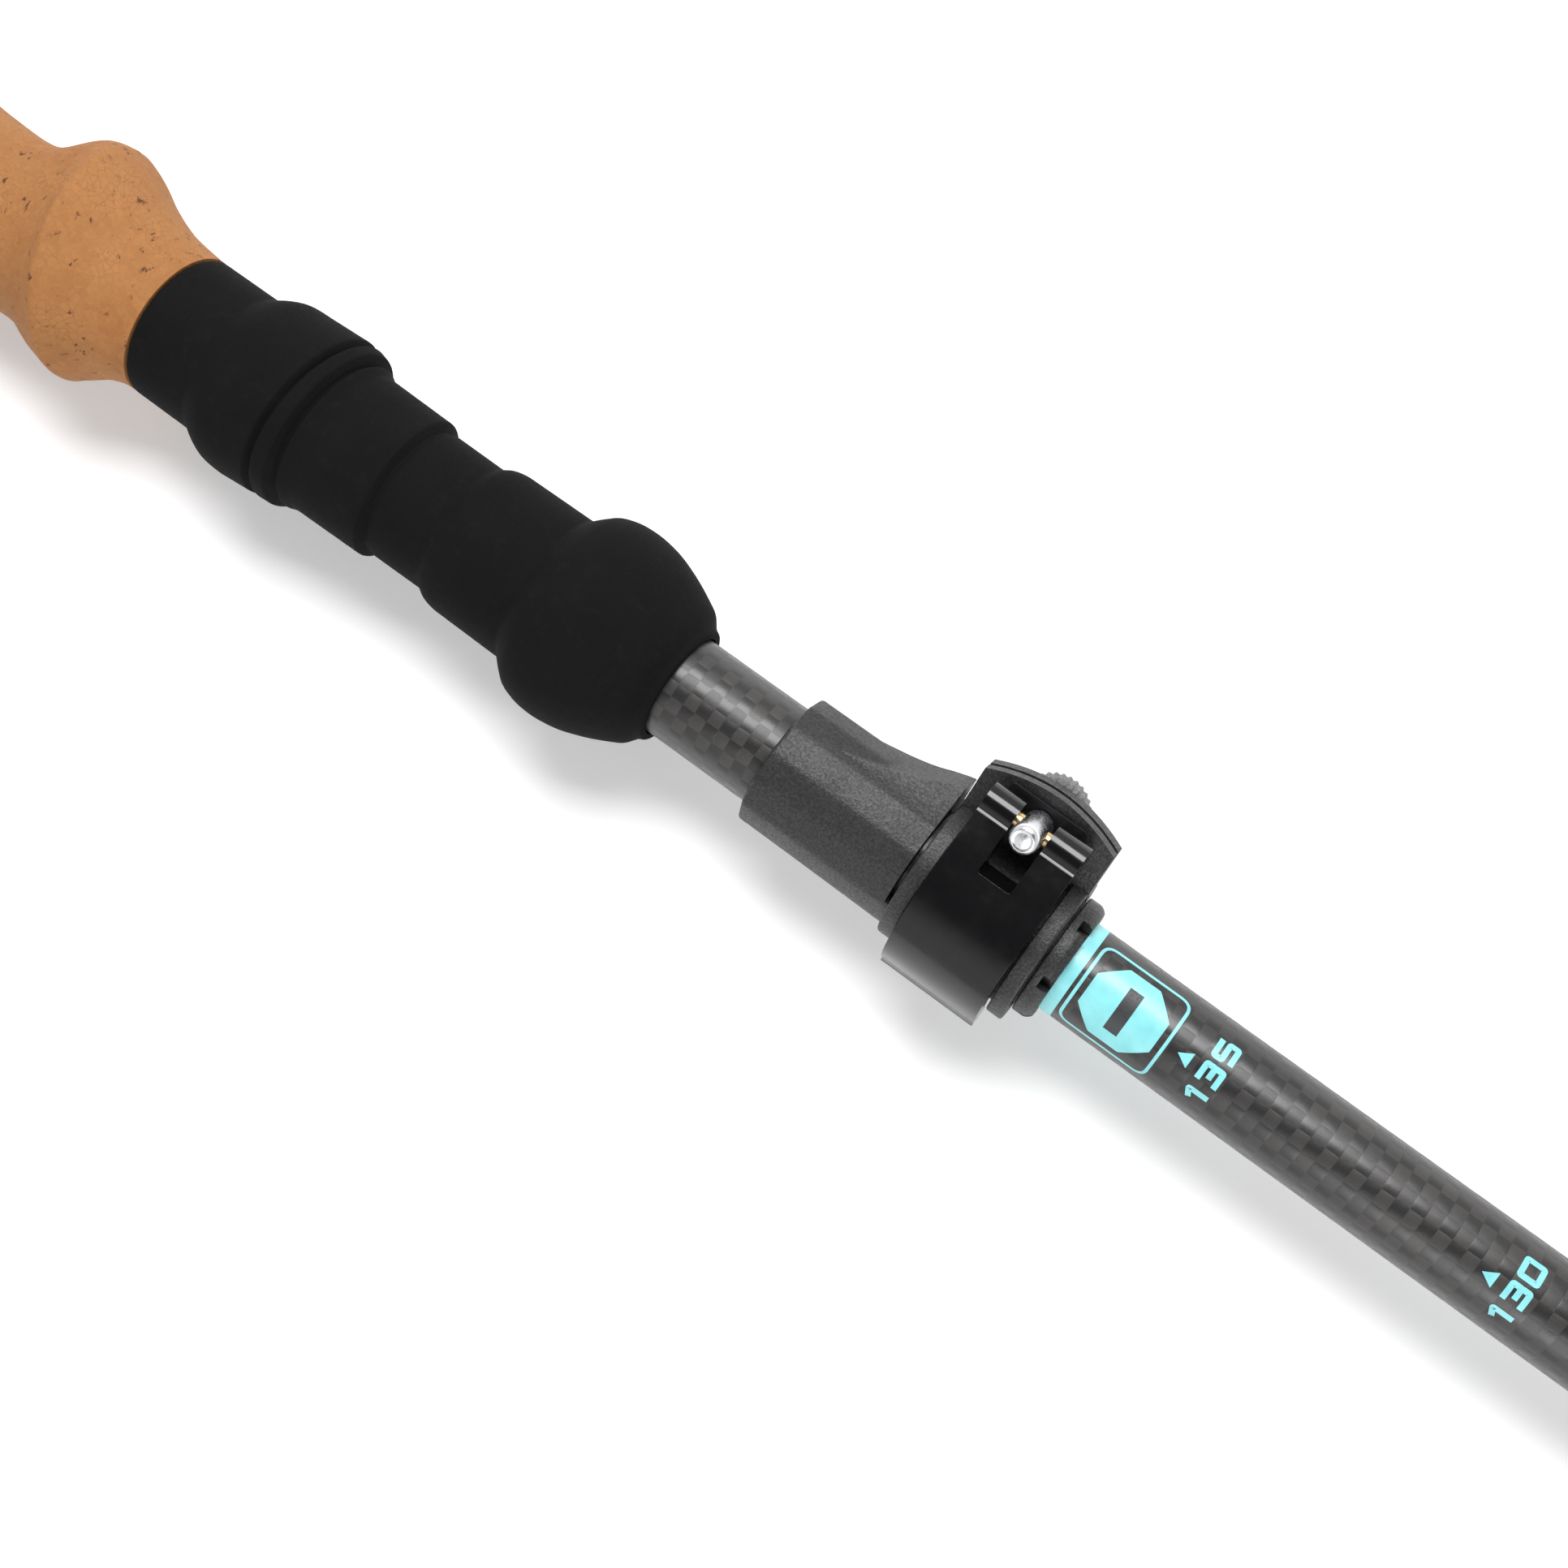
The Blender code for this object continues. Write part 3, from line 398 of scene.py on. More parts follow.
LOOKS = {
    "cork": cork(),
    "foam": foam(),
    "upper_carbon": carbon("upper_carbon", 24, 2.2),
    "middle_carbon": carbon("middle_carbon", 20, 2.3),
    "lower_carbon": carbon("lower_carbon", 18, 2.3),
    "matte": grained_plastic(
        "matte_black", (0.006, 0.006, 0.0063), (0.024, 0.0245, 0.025), 0.46, 2400.0, 0.00014
    ),
    "head": grained_plastic(
        "head_black", (0.007, 0.007, 0.0073), (0.018, 0.018, 0.0185), 0.52, 2100.0
    ),
    "gloss": gloss_plastic(),
    "grey": grained_plastic("grey_plastic", (0.085, 0.086, 0.088), (0.15, 0.15, 0.152), 0.5, 2600.0),
    "bush": grained_plastic(
        "natural_plastic", (0.30, 0.30, 0.29), (0.42, 0.42, 0.40), 0.45, 2000.0, 0.00003
    ),
    "steel": metal("steel", (0.72, 0.73, 0.75), 0.26),
    "black_steel": metal("black_steel", (0.03, 0.03, 0.032), 0.5),
    "brass": metal("brass", (0.72, 0.53, 0.27), 0.26),
    "carbide": metal("carbide", (0.22, 0.22, 0.23), 0.42, False),
    "ink": ink(),
    "dark_ink": dark_ink(),
    "webbing": webbing(),
    "lining": lining(),
    "thread": thread(),
    "rubber": rubber(),
}


# ---------------------------------------------------------------- mesh helpers


def add_object(name, mesh, place, look, body, replaces=(), smooth=30.0):
    """A finished piece: its mesh is put in the row frame, where its object's origin is."""
    mesh.transform(place)
    mesh.shade_smooth()
    mesh.set_sharp_from_angle(angle=math.radians(smooth))
    mesh.materials.append(LOOKS[look])
    obj = bpy.data.objects.new(name, mesh)
    bpy.context.scene.collection.objects.link(obj)
    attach(obj, body)
    if replaces:
        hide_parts(*replaces)
    return obj


def add_skin(node, mesh, place, look, body, smooth=30.0):
    """A finished piece that stands for one CAD node."""
    return add_object(node + "_skin", mesh, place, look, body, [node], smooth)


def mesh_from(name, build):
    mesh = bpy.data.meshes.new(name)
    bm = bmesh.new()
    build(bm)
    bmesh.ops.recalc_face_normals(bm, faces=bm.faces)
    bm.to_mesh(mesh)
    bm.free()
    return mesh


def rounded(points, radius, closed=False, steps=4):
    """An outline with its corners rounded. A point may carry its own radius."""
    result = []
    count = len(points)
    for i, point in enumerate(points):
        here = Vector(point[:2])
        size = point[2] if len(point) > 2 else radius
        if (not closed and i in (0, count - 1)) or size == 0:
            result.append(tuple(here))
            continue
        before = Vector(points[i - 1][:2])
        after = Vector(points[(i + 1) % count][:2])
        to_before, to_after = before - here, after - here
        reach = min(size, 0.45 * to_before.length, 0.45 * to_after.length)
        start = here + to_before.normalized() * reach
        end = here + to_after.normalized() * reach
        for k in range(steps + 1):
            t = k / steps
            result.append(tuple(start * (1 - t) ** 2 + here * 2 * t * (1 - t) + end * t * t))
    return result


def lathe_mesh(name, outline, steps=128, shape=None):
    """Turn (along, radius) points about X. shape(along, angle, radius) may move a point
    in or out. An outline that starts on the axis also ends there."""
    solid = outline[0][1] == 0.0

    def build(bm):
        rows = []
        for along, radius in outline:
            if radius == 0.0:
                rows.append([bm.verts.new((along * MM, 0, 0))])
                continue
            row = []
            for i in range(steps):
                angle = math.tau * i / steps
                reach = radius if shape is None else shape(along, angle, radius)
                row.append(
                    bm.verts.new(
                        (along * MM, reach * MM * math.cos(angle), reach * MM * math.sin(angle))
                    )
                )
            rows.append(row)
        pairs = list(zip(rows, rows[1:]))
        if not solid:
            pairs.append((rows[-1], rows[0]))
        for one, two in pairs:
            for i in range(steps):
                j = (i + 1) % steps
                if len(one) == 1:
                    bm.faces.new((one[0], two[j], two[i]))
                elif len(two) == 1:
                    bm.faces.new((one[i], one[j], two[0]))
                else:
                    bm.faces.new((one[i], one[j], two[j], two[i]))

    return mesh_from(name, build)


def loft_mesh(name, rings, closed_rows=False):
    """Faces through rings of points in millimetres; capped, or joined end to start."""

    def build(bm):
        rows = [[bm.verts.new(Vector(point) * MM) for point in ring] for ring in rings]
        count = len(rows[0])
        pairs = list(zip(rows, rows[1:]))
        if closed_rows:
            pairs.append((rows[-1], rows[0]))
        for one, two in pairs:
            for i in range(count):
                j = (i + 1) % count
                bm.faces.new((one[i], one[j], two[j], two[i]))
        if not closed_rows:
            bm.faces.new(reversed(rows[0]))
            bm.faces.new(rows[-1])

    return mesh_from(name, build)


def prism_mesh(name, outline, low, high, axes):
    """A flat outline carried from low to high. axes maps (a, b, depth) to a point."""

    def build(bm):
        bottom = [bm.verts.new(Vector(axes(a, b, low)) * MM) for a, b in outline]
        top = [bm.verts.new(Vector(axes(a, b, high)) * MM) for a, b in outline]
        count = len(outline)
        bm.faces.new(bottom)
        bm.faces.new(reversed(top))
        for i in range(count):
            j = (i + 1) % count
            bm.faces.new((bottom[i], top[i], top[j], bottom[j]))

    return mesh_from(name, build)


def box_mesh(name, low, high):
    def build(bm):
        low_at, high_at = Vector(low) * MM, Vector(high) * MM
        for vert in bmesh.ops.create_cube(bm, size=1.0)["verts"]:
            vert.co = (low_at + high_at) / 2 + vert.co * (high_at - low_at)

    return mesh_from(name, build)


def combined(base, others, operation):
    """The base mesh after Booleans with other meshes, one at a time."""
    scene = bpy.context.scene.collection
    obj = bpy.data.objects.new("work", base)
    scene.objects.link(obj)
    helpers = []
    for i, other in enumerate(others):
        helper = bpy.data.objects.new(f"work_{i}", other)
        scene.objects.link(helper)
        helpers.append(helper)
        modifier = obj.modifiers.new("step", "BOOLEAN")
        modifier.operation = operation
        modifier.solver = "MANIFOLD"
        modifier.object = helper
    mesh = applied(obj)
    mesh.materials.clear()
    mesh.polygons.foreach_set("material_index", [0] * len(mesh.polygons))
    for helper in helpers:
        bpy.data.objects.remove(helper)
    return mesh


def applied(obj):
    """The object's evaluated mesh. The object itself is removed."""
    bpy.context.view_layer.update()
    graph = bpy.context.evaluated_depsgraph_get()
    mesh = bpy.data.meshes.new_from_object(obj.evaluated_get(graph))
    bpy.data.objects.remove(obj)
    return mesh


def bevelled(mesh, width, angle):
    """Sharp edges broken by a small round, with no corner thrown out beyond it."""
    corners = [vertex.co.copy() for vertex in mesh.vertices]
    before = BVHTree.FromPolygons(corners, [list(face.vertices) for face in mesh.polygons])
    obj = bpy.data.objects.new("work", mesh)
    bpy.context.scene.collection.objects.link(obj)
    weld = obj.modifiers.new("weld", "WELD")
    weld.merge_threshold = 0.00001
    bevel = obj.modifiers.new("edges", "BEVEL")
    bevel.width = width * MM
    bevel.segments = 3
    bevel.limit_method = "ANGLE"
    bevel.angle_limit = math.radians(angle)
    bevel.use_clamp_overlap = True
    bevel.harden_normals = False
    result = applied(obj)
    for vertex in result.vertices:
        near, _, _, distance = before.find_nearest(vertex.co)
        if distance > width * MM:
            vertex.co = near
    return result


def hard_surface(obj):
    """Flat faces decide the shading, so that rounded edges don't bend it."""
    modifier = obj.modifiers.new("normals", "WEIGHTED_NORMAL")
    modifier.keep_sharp = True
    modifier.weight = 80


def polar(radius, degrees, centre=(0.0, 0.0)):
    angle = math.radians(degrees)
    return (centre[0] + radius * math.cos(angle), centre[1] + radius * math.sin(angle))


def smooth_through(values, places, at):
    """Values at given places, read off at another place on a curve that never overshoots."""
    if at <= places[0]:
        return values[0]
    if at >= places[-1]:
        return values[-1]
    i = max(k for k in range(len(places) - 1) if places[k] <= at)

    def slope(k):
        if k == 0 or k == len(places) - 1:
            return 0.0
        before = (values[k] - values[k - 1]) / (places[k] - places[k - 1])
        after = (values[k + 1] - values[k]) / (places[k + 1] - places[k])
        if before * after <= 0:
            return 0.0
        return 2 * before * after / (before + after)

    span = places[i + 1] - places[i]
    t = (at - places[i]) / span
    h00 = 2 * t**3 - 3 * t**2 + 1
    h10 = t**3 - 2 * t**2 + t
    h01 = -2 * t**3 + 3 * t**2
    h11 = t**3 - t**2
    return (
        h00 * values[i] + h10 * span * slope(i) + h01 * values[i + 1] + h11 * span * slope(i + 1)
    )


# ---------------------------------------------------------------- grip


RING_POINTS = 144


def oval_ring(x, lean, front, palm, side, power):
    ring = []
    for i in range(RING_POINTS):
        cosine, sine = polar(1.0, 360.0 * i / RING_POINTS)
        reach = front if cosine > 0 else palm
        y = reach * math.copysign(abs(cosine) ** (2 / power), cosine)
        z = side * math.copysign(abs(sine) ** (2 / power), sine)
        ring.append((x - lean * y, y, z))
    return ring


def bore_ring(x, radius):
    return [(x, *polar(radius, 360.0 * i / RING_POINTS)) for i in range(RING_POINTS)]


def fine_rings(sections, step, power=2.0):
    """Rings every step millimetres, read smoothly between the given sections."""
    places = [-section[0] for section in sections]
    columns = list(zip(*sections))
    count = max(2, int((places[-1] - places[0]) / step))
    rings = []
    for k in range(count + 1):
        at = places[0] + (places[-1] - places[0]) * k / count
        read = [smooth_through(column, places, at) for column in columns[1:]]
        rings.append(oval_ring(-at, *read, power=power))
    return rings


def make_cork_grip():
    """Cork handle. The flare under the hand has a crest with a firm edge."""
    end = HEAD_END - FOAM_START + GAP
    sections = [
        (-0.35, 0.0, 12.35, 12.3, 12.3), (-3.0, 0.03, 12.6, 12.5, 12.5),
        (-6.0, 0.1, 13.1, 13.1, 13.0), (-9.0, 0.17, 14.3, 13.9, 13.9),
        (-12.0, 0.22, 16.0, 15.2, 15.4), (-14.5, 0.25, 17.8, 16.4, 16.9),
        (-16.6, 0.265, 18.8, 17.4, 18.1), (-17.6, 0.27, 19.1, 17.95, 18.6),
        (-18.3, 0.27, 19.0, 17.9, 18.2), (-20.0, 0.265, 18.8, 17.5, 16.8),
        (-22.0, 0.25, 18.35, 17.0, 15.7), (-24.0, 0.24, 17.2, 16.1, 14.9),
        (-26.0, 0.22, 15.8, 15.2, 14.3), (-28.0, 0.2, 14.3, 14.95, 13.9),
        (-30.5, 0.17, 12.9, 15.0, 13.6), (-34.0, 0.12, 12.0, 15.1, 13.4),
        (-38.0, 0.08, 11.7, 15.2, 13.3), (-46.0, 0.04, 11.9, 15.6, 13.6),
        (-61.0, 0.0, 13.0, 16.6, 14.2), (-79.0, 0.0, 13.2, 17.0, 14.4),
        (-93.0, 0.0, 12.6, 16.2, 14.0), (-104.0, 0.0, 13.6, 16.0, 14.4),
        (end + 0.8, 0.0, 17.1, 16.8, 15.3), (end, 0.0, 16.8, 16.5, 15.0),
    ]
    rings = fine_rings(sections, 0.8)
    bore = UPPER_RADIUS + GAP
    rings += [bore_ring(end, bore), bore_ring(-0.35, bore)]
    mesh = loft_mesh("cork_grip_skin", rings, closed_rows=True)
    place = from_axis(FOAM_START)
    add_skin("cork_grip", mesh, place, "cork", "handle", 40)


def make_head():
    """Grip head: rounded moulding with the strap's pocket and the pin's holes."""
    sections = [
        (HEAD_END, 0.0, 17.0, 16.8, 15.2), (HEAD_END - 0.6, 0.0, 17.6, 17.3, 15.8),
        (HEAD_END - 7.0, 0.0, 20.5, 19.2, 16.6), (HEAD_END - 14.0, 0.0, 22.0, 20.0, 16.9),
        (HEAD_END - 20.0, 0.0, 20.4, 18.8, 15.8), (HEAD_END - 24.2, 0.0, 15.6, 14.8, 12.8),
        (HEAD_TOP + 0.35, 0.0, 11.6, 11.1, 9.9), (HEAD_TOP, 0.0, 10.2, 9.8, 8.7),
    ]
    body = loft_mesh("head", fine_rings(sections, 0.7, power=2.6))
    pin_x, pin_y = STRAP_PIN
    bore = lathe_mesh(
        "bore",
        [(0.0, 0.0), (0.0, UPPER_RADIUS + GAP), (60.0, UPPER_RADIUS + GAP), (60.0, 0.0)],
        96,
    )
    bore.transform(Matrix.Translation(((HEAD_TOP + 9.7) * MM, 0, 0)))
    seat = lathe_mesh("seat", [(-3.0, 0.0), (-3.0, 6.3), (1.2, 6.3), (1.2, 0.0)], 96)
    seat.transform(Matrix.Translation((HEAD_TOP * MM, 0, 0)))
    pocket_outline = rounded(
        [(-4.0, -22.0), (4.0, -22.0), (4.0, 4.0), (-4.0, 4.0)], 1.0, True
    )
    pocket = prism_mesh(
        "pocket", pocket_outline, -11.4, 11.4, lambda a, b, c: (pin_x + a, pin_y + b, c)
    )
    hole_outline = [polar(1.8, 15.0 * i) for i in range(24)]
    hole = prism_mesh(
        "hole", hole_outline, -40.0, 40.0, lambda a, b, c: (pin_x + a, pin_y + b, c)
    )
    mesh = combined(body, [bore, seat, pocket, hole], "DIFFERENCE")
    mesh = bevelled(mesh, 0.35, 40.0)
    hard_surface(add_skin("grip_head", mesh, AXIS, "head", "handle"))


def make_cap_disc():
    """Inset disc in the head's top, with a raised rim and two plain rings."""
    outline = [
        (0.9, 0.0), (0.9, 6.0), (0.15, 6.0), (0.1, 5.5), (0.45, 5.1), (0.45, 3.9), (0.3, 3.75),
        (0.3, 3.45), (0.45, 3.3), (0.45, 0.0),
    ]
    mesh = lathe_mesh("cap_disc_skin", rounded(outline, 0.15), 96)
    place = from_axis(HEAD_TOP)
    add_skin("cap_disc", mesh, place, "grey", "handle")


def make_foam():
    """Foam extension: soft steps, a ridge with two pressed grooves, and a bulb."""
    outline = [
        (0.0, 8.7, 0), (0.0, 12.1, 0.4), (0.5, 12.35, 0.5), (11.9, 12.4, 0.8), (14.4, 13.9, 1.0),
        (16.6, 14.8, 1.2), (19.0, 15.0, 1.5), (26.8, 14.95, 0.3), (27.6, 13.7, 0.15),
        (28.4, 14.8, 0.35), (30.5, 14.5, 0.35), (31.4, 12.6, 0.2), (32.3, 13.35, 0.35),
        (33.8, 12.6, 0.5), (46.6, 12.4, 0.3), (47.6, 10.9, 0.2), (48.6, 11.25, 0.5),
        (58.2, 11.2, 0.6), (59.8, 12.2, 0.6), (61.6, 12.6, 0.8), (74.9, 12.75, 0.5),
        (76.4, 14.2, 0.6), (78.4, 15.9, 0.9), (81.2, 16.75, 1.4), (84.6, 16.9, 1.8),
        (88.6, 16.3, 2.2), (93.4, 14.55, 2.6), (97.8, 12.3, 0.7), (99.4, 10.3, 0.5),
        (FOAM_LENGTH, 9.8, 0.4), (FOAM_LENGTH, 8.7, 0),
    ]
    mesh = lathe_mesh("foam_sleeve_skin", rounded(outline, 1.0, True, 6), 160)
    ridge_at, reach, slant, swell, inside = 27.5, 7.0, 1.3, 0.032, 10.0
    for vert in mesh.vertices:
        at = vert.co.x / MM
        near = max(0.0, 1.0 - abs(at - ridge_at) / reach)
        out = math.hypot(vert.co.y, vert.co.z)
        finger = vert.co.y / out
        vert.co.x += slant * MM * near * finger
        if out > inside * MM:
            grown = 1.0 + swell * near * finger
            vert.co.y *= grown
            vert.co.z *= grown
    place = from_axis(FOAM_START)
    add_skin("foam_sleeve", mesh, place, "foam", "handle", 50)


# ---------------------------------------------------------------- strap


def strap_route():
    """The webbing's closed route from above, as (x, y) from the strap pin."""
    bend = 2.75
    round_pin = [polar(bend, angle) for angle in range(0, 181, 36)]
    out = [
        (-bend, -5.0), (-3.4, -9.0), (-7.0, -17.0), (-13.5, -32.0), (-24.0, -60.0),
        (-31.0, -92.0), (-30.5, -121.0), (-19.0, -144.0), (1.0, -152.0),
    ]
    back = [
        (21.0, -145.0), (33.0, -123.0), (33.5, -95.0), (25.5, -61.0), (14.0, -33.0), (7.0, -17.0),
        (3.4, -9.0), (bend, -5.0),
    ]
    slanted = [(x + 0.18 * max(0.0, -y - 20.0), y) for x, y in out + back]
    return round_pin + slanted


def curve_points(route, closed, between=10):
    """Points along a smooth curve through the route, a few to each stretch."""
    curve = bpy.data.curves.new("route", "CURVE")
    curve.dimensions = "3D"
    curve.resolution_u = between
    spline = curve.splines.new("BEZIER")
    spline.bezier_points.add(len(route) - 1)
    for point, (x, y) in zip(spline.bezier_points, route):
        point.co = (x, y, 0.0)
        point.handle_left_type = "AUTO"
        point.handle_right_type = "AUTO"
    spline.use_cyclic_u = closed
    obj = bpy.data.objects.new("route", curve)
    bpy.context.scene.collection.objects.link(obj)
    return [vert.co.xy.copy() for vert in applied(obj).vertices]


def drop(y):
    """How far the strap has sunk below the pole's axis at this distance from the pin."""
    away = min(max((-y - 15.0) / 60.0, 0.0), 1.0)
    return (AXIS_Z - 15.0) * away * away * (3.0 - 2.0 * away)


def side_of(points, i, closed):
    """The unit normal to the left of the route at point i."""
    count = len(points)
    before = points[(i - 1) % count] if closed else points[max(i - 1, 0)]
    after = points[(i + 1) % count] if closed else points[min(i + 1, count - 1)]
    along = (after - before).normalized()
    return Vector((-along.y, along.x))


def band_mesh(name, points, closed, section):
    """A strip along the points. section(share along) gives the strip's
    cross-section there, as (out, up) pairs. Its UV map holds millimetres."""
    count = len(points)
    lengths = [0.0]
    for one, two in zip(points, points[1:]):
        lengths.append(lengths[-1] + (two - one).length)
    rows = []
    for i, point in enumerate(points):
        side = side_of(points, i, closed)
        ring = []
        for out, up in section(i / (count - 1)):
            at = point + side * out
            ring.append((at.x, at.y, up - drop(point.y)))
        rows.append(ring)

    def build(bm):
        layer = bm.loops.layers.uv.new("weave")
        verts = [[bm.verts.new(Vector(p) * MM) for p in ring] for ring in rows]
        wide = len(rows[0])
        heights = [up for _, up in section(0.5)]
        last = count if closed else count - 1
        for i in range(last):
            j = (i + 1) % count
            for a in range(wide):
                b = (a + 1) % wide
                face = bm.faces.new((verts[i][a], verts[i][b], verts[j][b], verts[j][a]))
                end = lengths[j] if j else lengths[-1] + (points[0] - points[-1]).length
                start, low, high = lengths[i], heights[a], heights[b]
                spots = ((start, low), (start, high), (end, high), (end, low))
                for loop, spot in zip(face.loops, spots):
                    loop[layer].uv = spot
        if not closed:
            bm.faces.new(reversed(verts[0]))
            bm.faces.new(verts[-1])

    return mesh_from(name, build)


def strap_section(_):
    """Webbing 22 mm wide with rolled edges and a shallow hollow beside each edge."""
    half, thick = 11.0, 0.9
    outer = []
    for k in range(25):
        up = -half + 2 * half * k / 24
        edge = half - abs(up)
        body = thick * min(1.0, math.sqrt(max(edge, 0.0) / 0.9))
        if 1.2 < edge < 2.4:
            body -= 0.12
        outer.append((body, up))
    return outer + [(-out, up) for out, up in reversed(outer[1:-1])]


def make_strap():
    """Wrist strap: the webbing, a pad inside its far end, and the stitches."""
    place = from_axis(*STRAP_PIN)
    route = strap_route()
    points = curve_points(route, True)
    strap = band_mesh("wrist_strap_webbing", points, True, strap_section)
    nodes = ["wrist_strap"]
    add_object("wrist_strap_webbing", strap, place, "webbing", "handle", nodes, 60)

    inner = []
    for before, point, after in zip(route[10:], route[11:20], route[12:]):
        along = (Vector(after) - Vector(before)).normalized()
        inner.append(tuple(Vector(point) + Vector((-along.y, along.x)) * 2.75))
    pad_points = curve_points(inner, False)

    def pad_section(share):
        """Crowned foam channels between sewn lines, thinner at the pad's ends."""
        half = 15.0 * min(1.0, 0.62 + 6.0 * min(share, 1 - share))
        full = min(1.0, 0.35 + 14.0 * min(share, 1 - share))
        crown = []
        for k in range(49):
            up = -half + 2 * half * k / 48
            edge = max(0.0, (half - abs(up)) / half)
            swell = min(1.0, math.sqrt(edge * 6.0))
            channel = abs(math.sin(math.pi * 1.5 * (up / half + 1.0)))
            swell *= 0.55 + 0.45 * min(1.0, channel * 1.6)
            crown.append((1.45 * swell * full, up))
        back = [(-0.9 * full, up) for _, up in reversed(crown[1:-1])]
        return crown + back

    pad = band_mesh("wrist_pad", pad_points, False, pad_section)
    pad_obj = add_object("wrist_pad", pad, place, "lining", "handle", ["strap_pad"], 60)
    make_strap_stitches(points, place)


def make_strap_stitches(points, place):
    """Two rows of stitches along the webbing, beyond the wedge."""

    def build(bm):
        far = [i for i, point in enumerate(points) if point.y < -34.0]
        for up in (-9.4, 9.4):
            run = [(points[i], i, up) for i in far]
            for (one, i, up), (two, _, _) in zip(run, run[1:]):
                gap = (two - one).length
                pieces = max(1, round(gap / 2.6))
                for k in range(pieces):
                    start = one.lerp(two, (k + 0.15) / pieces)
                    end = one.lerp(two, (k + 0.85) / pieces)
                    side = side_of(points, i, True)
                    add_stitch(bm, start, end, side, -0.86, up - drop(start.y))

    mesh = mesh_from("strap_stitches", build)
    add_object("strap_stitches", mesh, place, "thread", "handle", (), 60)


def add_stitch(bm, start, end, side, out, up, radius=0.2):
    """One short raised thread lying on the webbing."""
    rings = []
    for k in range(5):
        t = k / 4
        lift = math.sin(math.pi * t)
        at = start.lerp(end, t) + side * (out - 0.16 * lift)
        size = radius * (0.45 + 0.55 * lift)
        ring = []
        for n in range(6):
            c, s = polar(size, 60.0 * n)
            spot = at + side * c
            ring.append(bm.verts.new(Vector((spot.x, spot.y, up + s)) * MM))
        rings.append(ring)
    for one, two in zip(rings, rings[1:]):
        for n in range(6):
            m = (n + 1) % 6
            bm.faces.new((one[n], one[m], two[m], two[n]))
    bm.faces.new(reversed(rings[0]))
    bm.faces.new(rings[-1])


def make_wedge():
    """Plastic wedge between the strap's strands, ribbed where a finger lifts it."""
    rings = []
    for k in range(30):
        t = k / 29
        y = -4.0 - 14.5 * t
        half = smooth_through([1.4, 1.9, 4.8, 4.9, 4.3], [0.0, 0.34, 0.86, 0.95, 1.0], t)
        if t > 0.55:
            half -= 0.18 * (0.5 + 0.5 * math.sin(t * 70.0))
        outline = rounded([(-half, -10.0), (half, -10.0), (half, 10.0), (-half, 10.0)], 0.9, True)
        rings.append([(x, y, z) for x, z in outline])
    place = from_axis(*STRAP_PIN)
    mesh = loft_mesh("strap_wedge_skin", rings)
    add_skin("strap_wedge", mesh, place, "head", "wedge", 40)


def make_strap_pin():
    outline = rounded([(-13.5, 0.0), (-13.5, 1.5), (13.5, 1.5), (13.5, 0.0)], 0.35)
    mesh = lathe_mesh("strap_pin_skin", outline, 48)
    turn = Matrix.Rotation(math.radians(-90), 4, "Y")
    place = from_axis(*STRAP_PIN) @ turn
    add_skin("strap_pin", mesh, place, "steel", "handle")


# ---------------------------------------------------------------- tubes and their print


def make_tube(node, radius, look, body):
    low, high = box_mm(node)
    outline = [
        (low[0], radius - WALL, 0.1),
        (low[0], radius, 0.25),
        (high[0], radius, 0.25),
        (high[0], radius - WALL, 0.1),
    ]
    mesh = lathe_mesh(node + "_skin", rounded(outline, 0.2, True), 160)
    add_skin(node, mesh, AXIS, look, body)


def make_bush(node, tube_radius, body):
    """Bush with a chamfered lip and a hollow spigot that fills the tube's end."""
    start = box_mm(node)[0][0] + 2.5
    spigot = tube_radius - WALL - GAP
    outline = [
        (-2.5, 0.0), (-2.5, tube_radius - 0.7), (-2.0, tube_radius), (-0.3, tube_radius),
        (-0.3, spigot), (12.0, spigot), (12.0, spigot - 1.2), (1.0, spigot - 1.6), (1.0, 0.0),
    ]
    mesh = lathe_mesh(node + "_skin", rounded(outline, 0.2), 96)
    place = from_axis(start)
    add_skin(node, mesh, place, "bush", body)


def make_plug():
    """Cup that closes the top of the upper tube, inside the grip head."""
    start = box_mm("upper_tube_plug")[0][0]
    outline = [(0.0, 0.0), (0.0, 7.4), (8.0, 7.4), (8.0, 5.2), (2.0, 4.9), (2.0, 0.0)]
    mesh = lathe_mesh("upper_tube_plug_skin", rounded(outline, 0.3), 96)
    place = from_axis(start)
    add_skin("upper_tube_plug", mesh, place, "head", "handle")


# Print: flat shapes in (along, arc) millimetres, wrapped round a tube. A glyph's own
# square is 1 wide and 1 tall; its strokes are centre lines.
GLYPHS = {
    "0": [[(0.1, 0.1), (0.9, 0.1), (0.9, 0.9), (0.1, 0.9)]],
    "1": [[(0.30, 0.74), (0.74, 0.93), (0.74, 0.0)]],
    "2": [[(0.06, 0.9), (0.9, 0.9), (0.9, 0.52), (0.1, 0.46), (0.1, 0.1), (0.96, 0.1)]],
    "3": [
        [(0.06, 0.9), (0.88, 0.9), (0.88, 0.5), (0.3, 0.5)],
        [(0.88, 0.46), (0.88, 0.1), (0.06, 0.1)],
    ],
    "5": [[(0.94, 0.9), (0.1, 0.9), (0.1, 0.52), (0.9, 0.52), (0.9, 0.1), (0.06, 0.1)]],
}
CLOSED_GLYPHS = "0"
DIGIT_WIDE = 3.25
DIGIT_TALL = 3.4
DIGIT_STEP = 4.05
STROKE = 0.86
CORNER = 0.22
SUNK = 0.02
INK_LIFT = 0.035
BAR_LIFT = 0.055
SIGN_TURN = math.radians(97.6)
SCALE_ZERO = 3.75
BAND = (48.5, 50.55)
FRAME_START, FRAME_SIZE = 51.4, 14.6
